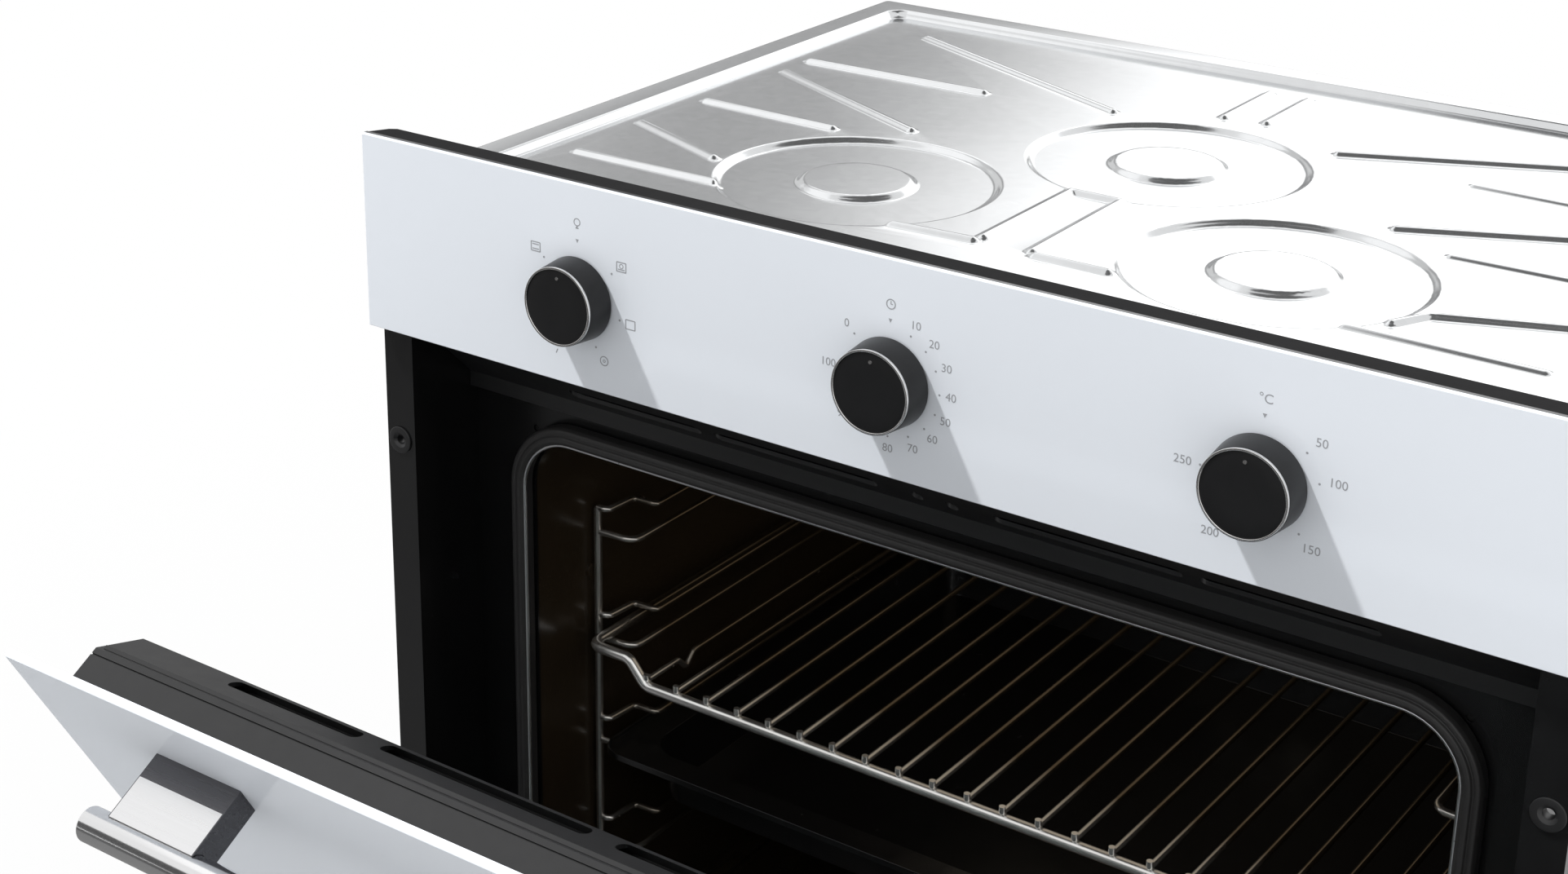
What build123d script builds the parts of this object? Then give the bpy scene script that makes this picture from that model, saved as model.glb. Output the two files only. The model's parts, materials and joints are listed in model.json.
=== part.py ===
from build123d import *
import os
from math import cos, radians, sin

# A built-in electric oven: body, door, controls, fans and the fittings of its cavity.
# Sizes are in millimetres. X runs to the right as seen from the front, Y runs back, Z runs up.
# A depth is measured back from the face of the control panel, a height from the base's underside.
# The origin is on the base's underside, midway between the sides and midway in depth.
# The door is drawn closed and then turned open by DOOR_OPEN about its hinge axis.

# Sheets and small clearances
SHEET = 1.2
THIN_SHEET = 1.0
COVER_SHEET = 0.8
SOFT_GAP = 0.3
RUNNING_GAP = 0.05
SEAT_GAP = 0.3

# Cavity
CAVITY_WIDTH = 480.0
CAVITY_HEIGHT = 354.5
CAVITY_DEPTH = 408.8
CAVITY_FLOOR = 82.0
CAVITY_CORNER = 28.0
INSULATION = 20.0
SIDE_SPACE = 36.2
ELEMENT_SPACE = 14.5

# Front frame and seal
RECESS_DEPTH = 56.0
RECESS_SPARE = 0.8
FLANGE_WIDTH = 18.0
FLANGE_DEPTH = 8.0
FLANGE_RETURN = 12.0
FLANGE_FOOT = 10.0
FRAME_FOOT = 2.0
FIXING_INSET = 8.4
FIXING_LOW = 150.0
FIXING_SPACING = 286.0
FIXING_HOLE_R = 2.4
SEAL_WIDTH = 9.0
SEAL_THICKNESS = 10.0
SEAL_MARGIN = 1.0
SEAL_HOOK_R = 1.8
SEAL_HOOK_INSET = 1.0
SEAL_HOOK_RISE = 1.5
BUSH_R = 4.2
BUSH_RING_R = 7.0
BUSH_LENGTH = 5.0

# Air outlet strip between the frame and the control panel
STRIP_RISE = 17.5
STRIP_HEIGHT = 40.0
STRIP_WALL = 1.5
STRIP_FRONT = 18.0
STRIP_FOOT_DEPTH = 6.0
STRIP_FOOT_HEIGHT = 8.0
STRIP_SLOT = 6.0
STRIP_SLOT_DEPTH = 41.5
STRIP_SLOT_SPANS = ((30.0, 119.0), (127.0, 205.0))
STRIP_DOT_X = 9.0

# Control panel
PANEL_GAP = 3.0
PANEL_HEIGHT = 98.0
PANEL_GLASS = 4.0
PANEL_SIDE = 2.5
CARRIER_DEPTH = 11.7
CARRIER_WALL = 2.0
CARRIER_POSTS = (-262.0, -83.0, 83.0, 262.0)
KNOB_PITCH = 166.1
KNOB_RISE = 43.7
KNOB_BASE_R = 20.0
KNOB_FACE_R = 18.75
KNOB_LENGTH = 14.7
KNOB_OFF_PANEL = 0.8
KNOB_WALL = 2.0
KNOB_HUB_R = 6.0
RING_WIDTH = 1.3
RING_DEPTH = 1.1
FACE_RECESS = 0.4
POINTER_R = 0.9
POINTER_FROM_RIM = 4.2
SHAFT_R = 3.0
SHAFT_HOLE_R = 6.5
BRACKET_DEPTH = 26.0
NECK_R = 5.5
SWITCH_R = 22.0
SWITCH_LENGTH = 28.0
TIMER_R = 26.0
TIMER_LENGTH = 34.0
THERMOSTAT_WIDTH = 40.0
THERMOSTAT_HEIGHT = 44.0
THERMOSTAT_LENGTH = 35.0

# Body
SIDE_FOLD = 22.0
BASE_UPSTAND = 14.0
COVER_SKIRT_GAP = 0.7
COVER_DROP = 18.0
COVER_SKIRT = 17.0
COVER_START = 17.5
REAR_STEP = 52.5
STEP_RISE = 10.7
REAR_COVER_DEPTH = 58.2
REAR_COVER_WIDTH = 300.0
REAR_COVER_HEIGHT = 378.0
REAR_COVER_FOOT = 62.0
REAR_COVER_RIM = 18.0
COVER_SCREW_R = 1.9
COVER_SCREW_LENGTH = 9.0
COVER_SCREW_HEAD = 2.4
COVER_SCREW_HEAD_R = 4.0
COVER_SCREW_RISES = (70.0, 310.0)

# Cooling slots of the sheets
VENT_HEIGHT = 4.0
VENT_PITCH = 10.0
SIDE_VENTS = 7
SIDE_VENT_BACK = 36.3
SIDE_VENT_LENGTH = 70.0
REAR_VENTS = 6
REAR_VENT_RISE = 20.0
REAR_VENT_MIDDLE = 30.0
REAR_VENT_LENGTH = 180.0
COVER_VENTS = 12
COVER_VENT_PITCH = 16.0
COVER_VENT_HEIGHT = 5.0
COVER_VENT_INSET = 30.0
COVER_VENT_LENGTH = 90.0
BASE_VENTS = 6
BASE_VENT_START = 92.8
BASE_VENT_PITCH = 45.0
BASE_VENT_WIDTH = 8.0
BASE_VENT_LENGTH = 120.0
BASE_VENT_X = 130.0

# Top cover stampings
PAD_HEIGHT = 4.0
RIM_WIDTH = 15.0
RING_PAD_R = 69.0
RING_HOLE_R = 26.0
RING_PADS = ((-107.0, 140.0), (107.0, 140.0), (0.0, 254.0))
PAD_INSET = 3.0
WEDGES = (
    ((-236, 84), (-156, 89), (-179, 118), (-239, 142)),
    ((-236, 193), (-161.5, 197), (-130, 217), (-231, 265)),
    ((-236, 293), (-128, 296), (-58, 307), (-211, 378)),
)
FRONT_PAD = ((-52, 84), (52, 84), (13, 108), (13, 177), (-13, 177), (-13, 108))
BACK_PAD = ((-11, 337), (11, 337), (11, 385), (-11, 385))

# Door
DOOR_OPEN = 30.0
DOOR_GAP = 3.5
DOOR_FOOT = 14.0
DOOR_GLASS = 4.0
MIDDLE_GLASS = 3.0
MIDDLE_GLASS_DEPTH = 24.0
SEAL_CLEARANCE = 0.5
HINGE_DEPTH = 27.5
HINGE_HEIGHT = 20.0
DOOR_SIDE_CLEARANCE = 2.5
COLUMN_WIDTH = 30.0
COLUMN_FOOT = 31.0
COLUMN_WALL = 2.0
TOP_RAIL_DROP = 17.5
TOP_RAIL_HEIGHT = 36.0
TOP_RAIL_FLAT = 22.0
TOP_RAIL_WALL = 2.2
TOP_RAIL_END = 3.0
TOP_RAIL_GROOVE = 18.4
TOP_RAIL_LIP = 8.2
BOTTOM_RAIL_FOOT = 16.0
INNER_GLASS_SIDE = 12.5
INNER_GLASS_FOOT = 62.0
GLASS_GRIP = 4.5
DOOR_SLOT_WIDTH = 6.0
DOOR_SLOT_SHIFT = -9.5
DOOR_SLOT_SPANS = ((6.9, 114.5), (127.5, 202.5))

# Hinges
HINGE_X = 258.0
HINGE_PIN_R = 4.0
HINGE_EYE_R = 8.0
HINGE_ARM = 5.0
HINGE_ARM_HEIGHT = 12.0
HINGE_CHANNEL_WIDTH = 16.0
HINGE_CHANNEL_WALL = 1.5
HINGE_CHANNEL_TOP = 250.0
HINGE_SPRING_R = 5.0
RECEIVER_DEPTH = 52.0
RECEIVER_WIDTH = 18.0

# Handle
HANDLE_BAR_R = 8.0
HANDLE_REACH = 37.0
HANDLE_LENGTH = 472.0
HANDLE_DROP = 42.0
HANDLE_ARM_X = 198.25
HANDLE_ARM_WIDTH = 50.5
HANDLE_ARM_THICK = 15.0
HANDLE_SCREW_R = 2.5
HANDLE_SCREW_HEAD_R = 4.5
HANDLE_SCREW_HEAD = 2.8
HANDLE_SCREW_REACH = 12.0

# Side racks
RACK_LEVELS = 5
LEVEL_PITCH = 61.7
TOP_RAIL_WIRE = 364.4
RAIL_PAIR = 13.8
RACK_POST_R = 2.2
RACK_WIRE_R = 1.8
RACK_WALL_GAP = 3.6
RAIL_X = 213.8
RACK_FRONT = 101.5
RACK_REAR_INSET = 41.0
RACK_FIRST_STEP = 6.4
RACK_FIRST_RUN = 20.5
RACK_STUD_R = 5.0
WIRE_SIDES = 6

# Wire shelf and baking tray
SHELF_LEVEL = 1
SHELF_FRAME_R = 3.0
SHELF_WIRE_R = 1.6
SHELF_HALF = 228.0
SHELF_FRONT = 84.5
SHELF_REAR_INSET = 35.0
SHELF_DROP = 12.7
SHELF_PITCH = 19.1
SHELF_WIRES = 21
SHELF_STEP_OUT = 203.0
SHELF_STEP_IN = 192.0
SHELF_FRAME_BEND = 7.0
SHELF_NOTCH = 30.0
SHELF_NOTCH_DROP = 7.0
TRAY_LEVEL = 2
TRAY_HALF = 226.0
TRAY_FRONT = 86.0
TRAY_REAR_INSET = 34.0
TRAY_PAN_HALF = 207.0
TRAY_DEPTH = 30.0
TRAY_LIP = 3.6
TRAY_CORNER = 14.0
TRAY_PAN_CORNER = 18.0
TRAY_FLOOR_CORNER = 14.0
TRAY_DRAFT = 6.0

# Convection fan
FAN_COVER_WIDTH = 340.0
FAN_COVER_HEIGHT = 262.0
FAN_COVER_DEPTH = 26.0
FAN_SLOTS = 16
CONVECTION_R = 72.0
CONVECTION_BLADES = 20
CONVECTION_BLADE_DEPTH = 14.0
CONVECTION_SHAFT_R = 4.0
CONVECTION_MOTOR = 60.0
MOTOR_TUBE_R = 12.0
MOTOR_STACK = 22.0
ROTOR_R = 13.8

# Cooling fan above the cavity
DUCT_HEIGHT = 30.0
DUCT_FRONT_HALF = 215.0
BLOWER_DEPTH = 330.0
BLOWER_R = 30.0
BLOWER_SCROLL_R = 45.5
BLOWER_LENGTH = 176.0
BLOWER_HALF = 96.0
BLOWER_MOUTH = 283.0
BLOWER_BLADES = 20
BLOWER_SHAFT_R = 3.0
BLOWER_MOTOR_HALF = 26.0
BLOWER_MOTOR_DROP = 22.0
BLOWER_MOTOR_RISE = 40.0
COIL_WIDTH = 28.0
COIL_HEIGHT = 20.0

# Heating elements, lamp and probe
ELEMENT_R = 3.25
ELEMENT_DROP = 12.5
TOP_ELEMENT_HALF = 150.0
TOP_LEG_X = 40.0
BOTTOM_ELEMENT_HALF = 170.0
BOTTOM_LEG_X = 60.0
ELEMENT_FRONT = 120.0
ELEMENT_REAR_INSET = 66.0
ELEMENT_BEND = 22.0
STRAP_X = 100.0
STRAP_WIDTH = 4.0
STRAP_THICK = 2.0
LAMP_X = -200.0
LAMP_R = 17.0
LAMP_DROP = 36.5
LAMP_GLASS_R = 18.5
PROBE_X = 200.0
PROBE_R = 2.0
PROBE_LENGTH = 99.0
PROBE_INSET = 51.0
TERMINAL_X = -170.0
CAPILLARY_R = 1.0
CAPILLARY_BEND = 6.0
CAPILLARY_RISE = 10.0

# Worked out from the sizes above
PLATE_BACK = RECESS_DEPTH + SHEET
CAVITY_BACK = PLATE_BACK + CAVITY_DEPTH
CAVITY_HALF = CAVITY_WIDTH / 2
CAVITY_TOP = CAVITY_FLOOR + CAVITY_HEIGHT
CAVITY_MIDDLE = (CAVITY_FLOOR + CAVITY_TOP) / 2
PROBE_DEPTH = CAVITY_BACK - PROBE_INSET
ELEMENT_TURN = CAVITY_BACK - ELEMENT_REAR_INSET
RACK_REAR = CAVITY_BACK - RACK_REAR_INSET
SHELF_REAR = CAVITY_BACK - SHELF_REAR_INSET
TRAY_REAR = CAVITY_BACK - TRAY_REAR_INSET
BODY_HALF = CAVITY_HALF + SIDE_SPACE
BODY_INSIDE = BODY_HALF - THIN_SHEET
SHEET_EDGE = BODY_INSIDE - SEAT_GAP / 2
RECESS_HALF = BODY_HALF + RECESS_SPARE
FLANGE_HALF = RECESS_HALF + FLANGE_WIDTH
FRONT_HALF = FLANGE_HALF + PANEL_SIDE
REAR_INSULATION = CAVITY_BACK + SHEET + SOFT_GAP
REAR_INSIDE = REAR_INSULATION + INSULATION + SOFT_GAP
REAR_PANEL = REAR_INSIDE + THIN_SHEET
UPPER_REAR = REAR_PANEL - REAR_STEP
BODY_DEPTH = REAR_PANEL + REAR_COVER_DEPTH
INSULATION_TOP = CAVITY_TOP + SHEET + SOFT_GAP + INSULATION
INSULATION_FOOT = CAVITY_FLOOR - SHEET - ELEMENT_SPACE - INSULATION
DECK = INSULATION_TOP + SOFT_GAP
DECK_TOP = DECK + THIN_SHEET
DUCT_TOP = DECK_TOP + DUCT_HEIGHT
STEP_HEIGHT = DECK_TOP + STEP_RISE
STRIP_FOOT = CAVITY_TOP + STRIP_RISE
STRIP_TOP = STRIP_FOOT + STRIP_HEIGHT
FRAME_TOP = STRIP_TOP + THIN_SHEET
PANEL_FOOT = STRIP_TOP + PANEL_GAP
PANEL_TOP = PANEL_FOOT + PANEL_HEIGHT
COVER_TOP = PANEL_TOP - COVER_DROP
COVER_BASE = COVER_TOP - PAD_HEIGHT
BODY_TOP = COVER_BASE - COVER_SHEET
CARRIER_BACK = PANEL_GLASS + CARRIER_DEPTH
BRACKET_BACK = BRACKET_DEPTH + SHEET
KNOB_HEIGHT = PANEL_FOOT + KNOB_RISE
KNOB_XS = (-KNOB_PITCH, 0.0, KNOB_PITCH)
KNOB_BACK = -KNOB_OFF_PANEL
KNOB_FRONT = KNOB_BACK - KNOB_LENGTH
SHAFT_TIP = KNOB_FRONT + 3.5
SHAFT_END = BRACKET_BACK + 6
CONVECTION_STACK = REAR_PANEL + 8
CONVECTION_MOTOR_END = CONVECTION_STACK + MOTOR_STACK + 8
BLOWER_MOTOR_START = -BLOWER_HALF - SHEET - 5
BLOWER_STACK = BLOWER_MOTOR_START - 8 - MOTOR_STACK
BLOWER_MOTOR_END = BLOWER_STACK - 8
SEAL_FRONT = RECESS_DEPTH - SEAL_THICKNESS
DOOR_BACK = SEAL_FRONT - SEAL_CLEARANCE
DOOR_TOP = PANEL_FOOT - DOOR_GAP
HANDLE_HEIGHT = DOOR_TOP - HANDLE_DROP
DOOR_HALF = RECESS_HALF - DOOR_SIDE_CLEARANCE
RAIL_TOP = DOOR_TOP - TOP_RAIL_DROP
RAIL_FOOT = RAIL_TOP - TOP_RAIL_HEIGHT
RAIL_EDGE = DOOR_GLASS + TOP_RAIL_FLAT
RAIL_SLOPE_FOOT = RAIL_TOP - (DOOR_BACK - RAIL_EDGE)
COLUMN_INSIDE = DOOR_HALF - COLUMN_WIDTH
INNER_GLASS_FRONT = DOOR_BACK - DOOR_GLASS
INNER_GLASS_HALF = DOOR_HALF - INNER_GLASS_SIDE
INNER_GLASS_TOP = RAIL_SLOPE_FOOT - TOP_RAIL_LIP - SEAT_GAP
FIXING_X = FLANGE_HALF - FIXING_INSET
POST_X = CAVITY_HALF - RACK_WALL_GAP
LAMP_HEIGHT = CAVITY_TOP - LAMP_DROP
TOP_ELEMENT_HEIGHT = CAVITY_TOP - ELEMENT_DROP
BOTTOM_ELEMENT_HEIGHT = CAVITY_FLOOR - SHEET - SEAT_GAP - ELEMENT_R
BLOWER_HEIGHT = DECK_TOP + SHEET + BLOWER_SCROLL_R
REAR_SCREW_X = REAR_COVER_WIDTH / 2 + REAR_COVER_RIM / 2
FRONT_Y = -BODY_DEPTH / 2


def y_at(depth):
    """The Y of a depth behind the face of the control panel."""
    return FRONT_Y + depth


def spot(x, depth, height):
    """A point given by its X, its depth and its height."""
    return (x, y_at(depth), height)


def block(x, depth, height):
    """A block between low and high values of X, depth and height."""
    middle = spot(sum(x) / 2, sum(depth) / 2, sum(height) / 2)
    return Pos(*middle) * Box(x[1] - x[0], depth[1] - depth[0], height[1] - height[0])


def along_x(points, x):
    """A bar between two X whose section is drawn by (depth, height) points."""
    outline = make_face(Polyline(*[(y_at(d), z) for d, z in points], close=True))
    return extrude(Plane.YZ.offset(x[0]) * outline, amount=x[1] - x[0])


def along_depth(sketch, depth):
    """A sketch drawn in X and height, made solid between two depths."""
    return extrude(Plane.XZ.offset(-y_at(depth[1])) * sketch, amount=depth[1] - depth[0])


def along_height(points, height):
    """A post between two heights whose section is drawn by (X, depth) points."""
    outline = make_face(Polyline(*[(x, y_at(d)) for x, d in points], close=True))
    return extrude(Plane.XY.offset(height[0]) * outline, amount=height[1] - height[0])


def turned(points, x, height):
    """A part turned about a line along the depth, drawn by (radius, depth) points."""
    outline = make_face(Polyline(*[(x + r, y_at(d)) for r, d in points], close=True))
    return revolve(Plane.XY.offset(height) * outline, Axis((x, 0, height), (0, 1, 0)))


def rod(x, height, radius, depth):
    """A round rod along the depth."""
    return along_depth(Pos(x, height) * Circle(radius), depth)


def rod_x(depth, height, radius, x):
    """A round rod along X."""
    place = Plane.YZ.offset(x[0]) * Pos(y_at(depth), height)
    return extrude(place * Circle(radius), amount=x[1] - x[0])


def both_sides(right):
    """A part of the right side with its mirror image on the left."""
    return right + mirror(right, Plane.YZ)


def probe_hole(radius, height):
    """An upright hole for the fine tube of the thermostat's probe."""
    place = Plane.XY.offset(height[0]) * Pos(PROBE_X, y_at(PROBE_DEPTH))
    return extrude(place * Circle(radius), amount=height[1] - height[0])


def wire(points, radius, bend, close=False):
    """A wire through points, with every corner bent to one radius."""
    path = FilletPolyline(*points, radius=bend, close=close)
    section = Plane(origin=path @ 0, z_dir=path % 0) * RegularPolygon(radius, WIRE_SIDES)
    return sweep(section, path=path)


def kinked_wire(points, radius):
    """A thin wire through points, with its small bends drawn as sharp ones."""
    path = Polyline(*points)
    section = Plane(origin=path @ 0, z_dir=path % 0) * RegularPolygon(radius, WIRE_SIDES)
    return sweep(section, path=path, transition=Transition.RIGHT)


def mouth(grow=0.0):
    """The cavity's section seen from the front, larger by grow all round."""
    shape = RectangleRounded(
        CAVITY_WIDTH + 2 * grow, CAVITY_HEIGHT + 2 * grow, CAVITY_CORNER + grow
    )
    return Pos(0, CAVITY_MIDDLE) * shape


# Body shells


def make_front_frame():
    """The enamelled frame that the door closes into, with its fixing flanges."""
    width = 2 * (RECESS_HALF + SHEET)
    plate = Pos(0, (FRAME_FOOT + FRAME_TOP) / 2) * Rectangle(width, FRAME_TOP - FRAME_FOOT)
    duct_mouth = Pos(0, DECK_TOP + DUCT_HEIGHT / 2) * Rectangle(
        2 * DUCT_FRONT_HALF, DUCT_HEIGHT - 2
    )
    frame = along_depth(plate - mouth() - duct_mouth, (RECESS_DEPTH, PLATE_BACK))
    fold = [
        (RECESS_HALF, PLATE_BACK),
        (RECESS_HALF, FLANGE_DEPTH),
        (FLANGE_HALF, FLANGE_DEPTH),
        (FLANGE_HALF, FLANGE_DEPTH + FLANGE_RETURN),
        (FLANGE_HALF - SHEET, FLANGE_DEPTH + FLANGE_RETURN),
        (FLANGE_HALF - SHEET, FLANGE_DEPTH + SHEET),
        (RECESS_HALF + SHEET, FLANGE_DEPTH + SHEET),
        (RECESS_HALF + SHEET, PLATE_BACK),
    ]
    frame += both_sides(along_height(fold, (FLANGE_FOOT, FRAME_TOP)))
    through_flange = (FLANGE_DEPTH - 1, FLANGE_DEPTH + SHEET + 1)
    through_plate = (RECESS_DEPTH - 1, PLATE_BACK + 1)
    arm_foot = HINGE_HEIGHT - HINGE_ARM_HEIGHT / 2 - SEAT_GAP
    arm_room = HINGE_ARM / 2 + 1.5
    for side in (-1, 1):
        for height in (FIXING_LOW, FIXING_LOW + FIXING_SPACING):
            frame -= rod(side * FIXING_X, height, BUSH_R + RUNNING_GAP, through_flange)
        for height in (CAVITY_TOP + SEAL_HOOK_RISE, CAVITY_FLOOR - SEAL_HOOK_RISE):
            hook_x = side * (CAVITY_HALF - SEAL_HOOK_INSET)
            frame -= rod(hook_x, height, SEAL_HOOK_R, through_plate)
        arm_x = side * HINGE_X
        arm_slot = (arm_foot, arm_foot + 2 * HINGE_ARM_HEIGHT)
        frame -= block((arm_x - arm_room, arm_x + arm_room), through_plate, arm_slot)
    return frame


def make_flange_bushes():
    """Four bushes in the flanges, for the screws that hold the oven in its cabinet."""
    profile = [
        (FIXING_HOLE_R, FLANGE_DEPTH + BUSH_LENGTH),
        (FIXING_HOLE_R, FLANGE_DEPTH),
        (FIXING_HOLE_R + 1.6, FLANGE_DEPTH - 1),
        (BUSH_RING_R, FLANGE_DEPTH - 1),
        (BUSH_RING_R, FLANGE_DEPTH),
        (BUSH_R, FLANGE_DEPTH),
        (BUSH_R, FLANGE_DEPTH + BUSH_LENGTH),
    ]
    return [
        turned(profile, side * FIXING_X, height)
        for side in (-1, 1)
        for height in (FIXING_LOW, FIXING_LOW + FIXING_SPACING)
    ]


def make_cavity():
    """The enamelled cavity, with the studs that carry the side racks."""
    shell = along_depth(mouth(SHEET), (PLATE_BACK, CAVITY_BACK + SHEET))
    shell -= along_depth(mouth(), (PLATE_BACK - 1, CAVITY_BACK))
    through = (CAVITY_BACK - 1, CAVITY_BACK + SHEET + 1)
    shell -= rod(0, CAVITY_MIDDLE, CONVECTION_SHAFT_R + 3, through)
    shell -= rod(LAMP_X, LAMP_HEIGHT, LAMP_R + SEAT_GAP, through)
    for side in (-1, 1):
        shell -= rod(side * TOP_LEG_X, TOP_ELEMENT_HEIGHT, ELEMENT_R + 0.75, through)
    shell -= probe_hole(CAPILLARY_R + 2, (CAVITY_TOP - 1, CAVITY_TOP + SHEET + 1))
    stud_face = POST_X + RACK_POST_R + SEAT_GAP
    for depth in (RACK_FRONT, RACK_REAR):
        for level in (0.5, RACK_LEVELS - 1.5):
            height = rail_height(level) + RAIL_PAIR / 2
            stud = rod_x(depth, height, RACK_STUD_R, (stud_face, CAVITY_HALF + SHEET / 2))
            shell += both_sides(stud)
    return shell


def make_insulation():
    """Mineral wool wrapped round the cavity, and a slab of it behind the rear wall."""
    outer_half = BODY_INSIDE - SOFT_GAP
    outer = Pos(0, (INSULATION_FOOT + INSULATION_TOP) / 2) * Rectangle(
        2 * outer_half, INSULATION_TOP - INSULATION_FOOT
    )
    floor = INSULATION_FOOT + INSULATION
    room_height = CAVITY_TOP + SHEET + SOFT_GAP - floor
    room = Pos(0, floor + room_height / 2) * RectangleRounded(
        CAVITY_WIDTH + 2 * (SHEET + SOFT_GAP), room_height, CAVITY_CORNER
    )
    wrap = along_depth(outer - room, (PLATE_BACK + SOFT_GAP, REAR_INSIDE - SOFT_GAP))
    wrap -= probe_hole(CAPILLARY_R + 2, (CAVITY_TOP, DECK))
    slab = mouth() - Pos(0, CAVITY_MIDDLE) * Circle(MOTOR_TUBE_R + SOFT_GAP)
    slab -= Pos(LAMP_X, LAMP_HEIGHT) * Circle(LAMP_R + SOFT_GAP)
    for side in (-1, 1):
        slab -= Pos(side * TOP_LEG_X, TOP_ELEMENT_HEIGHT) * Circle(ELEMENT_R + 1.5)
        for rise in COVER_SCREW_RISES:
            slab -= Pos(side * REAR_SCREW_X, REAR_COVER_FOOT + rise) * Circle(COVER_SCREW_R + 1)
    return [wrap, along_depth(slab, (REAR_INSULATION, REAR_INSIDE - SOFT_GAP))]


def make_side_panels():
    """The two galvanised side sheets, folded in at top and bottom, with cooling slots."""
    outline = [
        (PLATE_BACK, 0),
        (REAR_PANEL, 0),
        (REAR_PANEL, STEP_HEIGHT),
        (UPPER_REAR, STEP_HEIGHT),
        (UPPER_REAR, BODY_TOP),
        (PLATE_BACK, BODY_TOP),
    ]
    panel = along_x(outline, (BODY_INSIDE, BODY_HALF))
    fold = (BODY_INSIDE - SIDE_FOLD, BODY_INSIDE)
    clear = 2 * THIN_SHEET
    foot_fold = (THIN_SHEET, 2 * THIN_SHEET)
    top_fold = (BODY_TOP - THIN_SHEET, BODY_TOP)
    panel += block(fold, (PLATE_BACK, REAR_INSIDE - clear), foot_fold)
    panel += block(fold, (PLATE_BACK + clear, UPPER_REAR - clear), top_fold)
    vent_end = UPPER_REAR - SIDE_VENT_BACK
    vent_depth = (vent_end - SIDE_VENT_LENGTH, vent_end)
    for row in range(SIDE_VENTS):
        vent = DUCT_TOP + VENT_PITCH * row
        panel -= block((BODY_INSIDE - 1, BODY_HALF + 1), vent_depth, (vent, vent + VENT_HEIGHT))
    return both_sides(panel)


def make_base_plate():
    """The base sheet with its cooling slots and its rear upstand."""
    plate = block((-SHEET_EDGE, SHEET_EDGE), (PLATE_BACK, REAR_INSIDE), (0, THIN_SHEET))
    upstand = (REAR_INSIDE - THIN_SHEET, REAR_INSIDE)
    inset = SIDE_FOLD + 2
    plate += block((inset - SHEET_EDGE, SHEET_EDGE - inset), upstand, (0, BASE_UPSTAND))
    half_x, half_y = BASE_VENT_LENGTH / 2, BASE_VENT_WIDTH / 2
    for x in (-BASE_VENT_X, BASE_VENT_X):
        for row in range(BASE_VENTS):
            vent = PLATE_BACK + BASE_VENT_START + BASE_VENT_PITCH * row
            vent_depth = (vent - half_y, vent + half_y)
            plate -= block((x - half_x, x + half_x), vent_depth, (-1, THIN_SHEET + 1))
    return plate


def make_rear_panel():
    """The rear sheet, which steps forward above the cavity to clear the connection."""
    line = [
        (REAR_INSIDE, 0),
        (REAR_PANEL, 0),
        (REAR_PANEL, STEP_HEIGHT),
        (UPPER_REAR, STEP_HEIGHT),
        (UPPER_REAR, BODY_TOP),
        (UPPER_REAR - THIN_SHEET, BODY_TOP),
        (UPPER_REAR - THIN_SHEET, STEP_HEIGHT - THIN_SHEET),
        (REAR_INSIDE, STEP_HEIGHT - THIN_SHEET),
    ]
    panel = along_x(line, (-SHEET_EDGE, SHEET_EDGE))
    through = (REAR_INSIDE - 1, REAR_PANEL + 1)
    panel -= rod(0, CAVITY_MIDDLE, MOTOR_TUBE_R + SEAT_GAP, through)
    for side in (-1, 1):
        panel -= rod(side * TOP_LEG_X, TOP_ELEMENT_HEIGHT, ELEMENT_R + 1.5, through)
        panel -= rod(side * BOTTOM_LEG_X, BOTTOM_ELEMENT_HEIGHT, ELEMENT_R + 1.5, through)
        for rise in COVER_SCREW_RISES:
            screw_height = REAR_COVER_FOOT + rise
            panel -= rod(side * REAR_SCREW_X, screw_height, COVER_SCREW_R + 0.2, through)
    half = REAR_VENT_LENGTH / 2
    vent_x = (REAR_VENT_MIDDLE - half, REAR_VENT_MIDDLE + half)
    through_upper = (UPPER_REAR - THIN_SHEET - 1, UPPER_REAR + 1)
    for row in range(REAR_VENTS):
        vent = STEP_HEIGHT + REAR_VENT_RISE + VENT_PITCH * row
        panel -= block(vent_x, through_upper, (vent, vent + VENT_HEIGHT))
    return panel


def make_back_cover():
    """The pressed cover over the fan motor and the element terminals, with its vents."""
    middle = REAR_COVER_FOOT + REAR_COVER_HEIGHT / 2
    place = Plane(origin=(0, y_at(REAR_PANEL), middle), x_dir=(-1, 0, 0), z_dir=(0, 1, 0))
    wide, high = REAR_COVER_WIDTH, REAR_COVER_HEIGHT
    shape = RectangleRounded(wide, high, 20)
    room = RectangleRounded(wide - 2 * SHEET, high - 2 * SHEET, 20 - SHEET)
    rim = RectangleRounded(wide + 2 * REAR_COVER_RIM, high + 2 * REAR_COVER_RIM, 24)
    cover = extrude(place * shape, amount=REAR_COVER_DEPTH, taper=15)
    cover += extrude(place * rim, amount=THIN_SHEET)
    cover -= extrude(place * room, amount=REAR_COVER_DEPTH - THIN_SHEET, taper=15)
    through = (REAR_PANEL - 1, REAR_PANEL + THIN_SHEET + 1)
    for side in (-1, 1):
        for rise in COVER_SCREW_RISES:
            screw_height = REAR_COVER_FOOT + rise
            cover -= rod(side * REAR_SCREW_X, screw_height, COVER_SCREW_R + 0.2, through)
        span = sorted((side * COVER_VENT_INSET, side * (COVER_VENT_INSET + COVER_VENT_LENGTH)))
        for row in range(COVER_VENTS):
            vent = middle + COVER_VENT_PITCH * (row - COVER_VENTS / 2 + 0.5)
            vent_height = (vent, vent + COVER_VENT_HEIGHT)
            cover -= block(span, (BODY_DEPTH - 3, BODY_DEPTH + 1), vent_height)
    return cover


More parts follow.
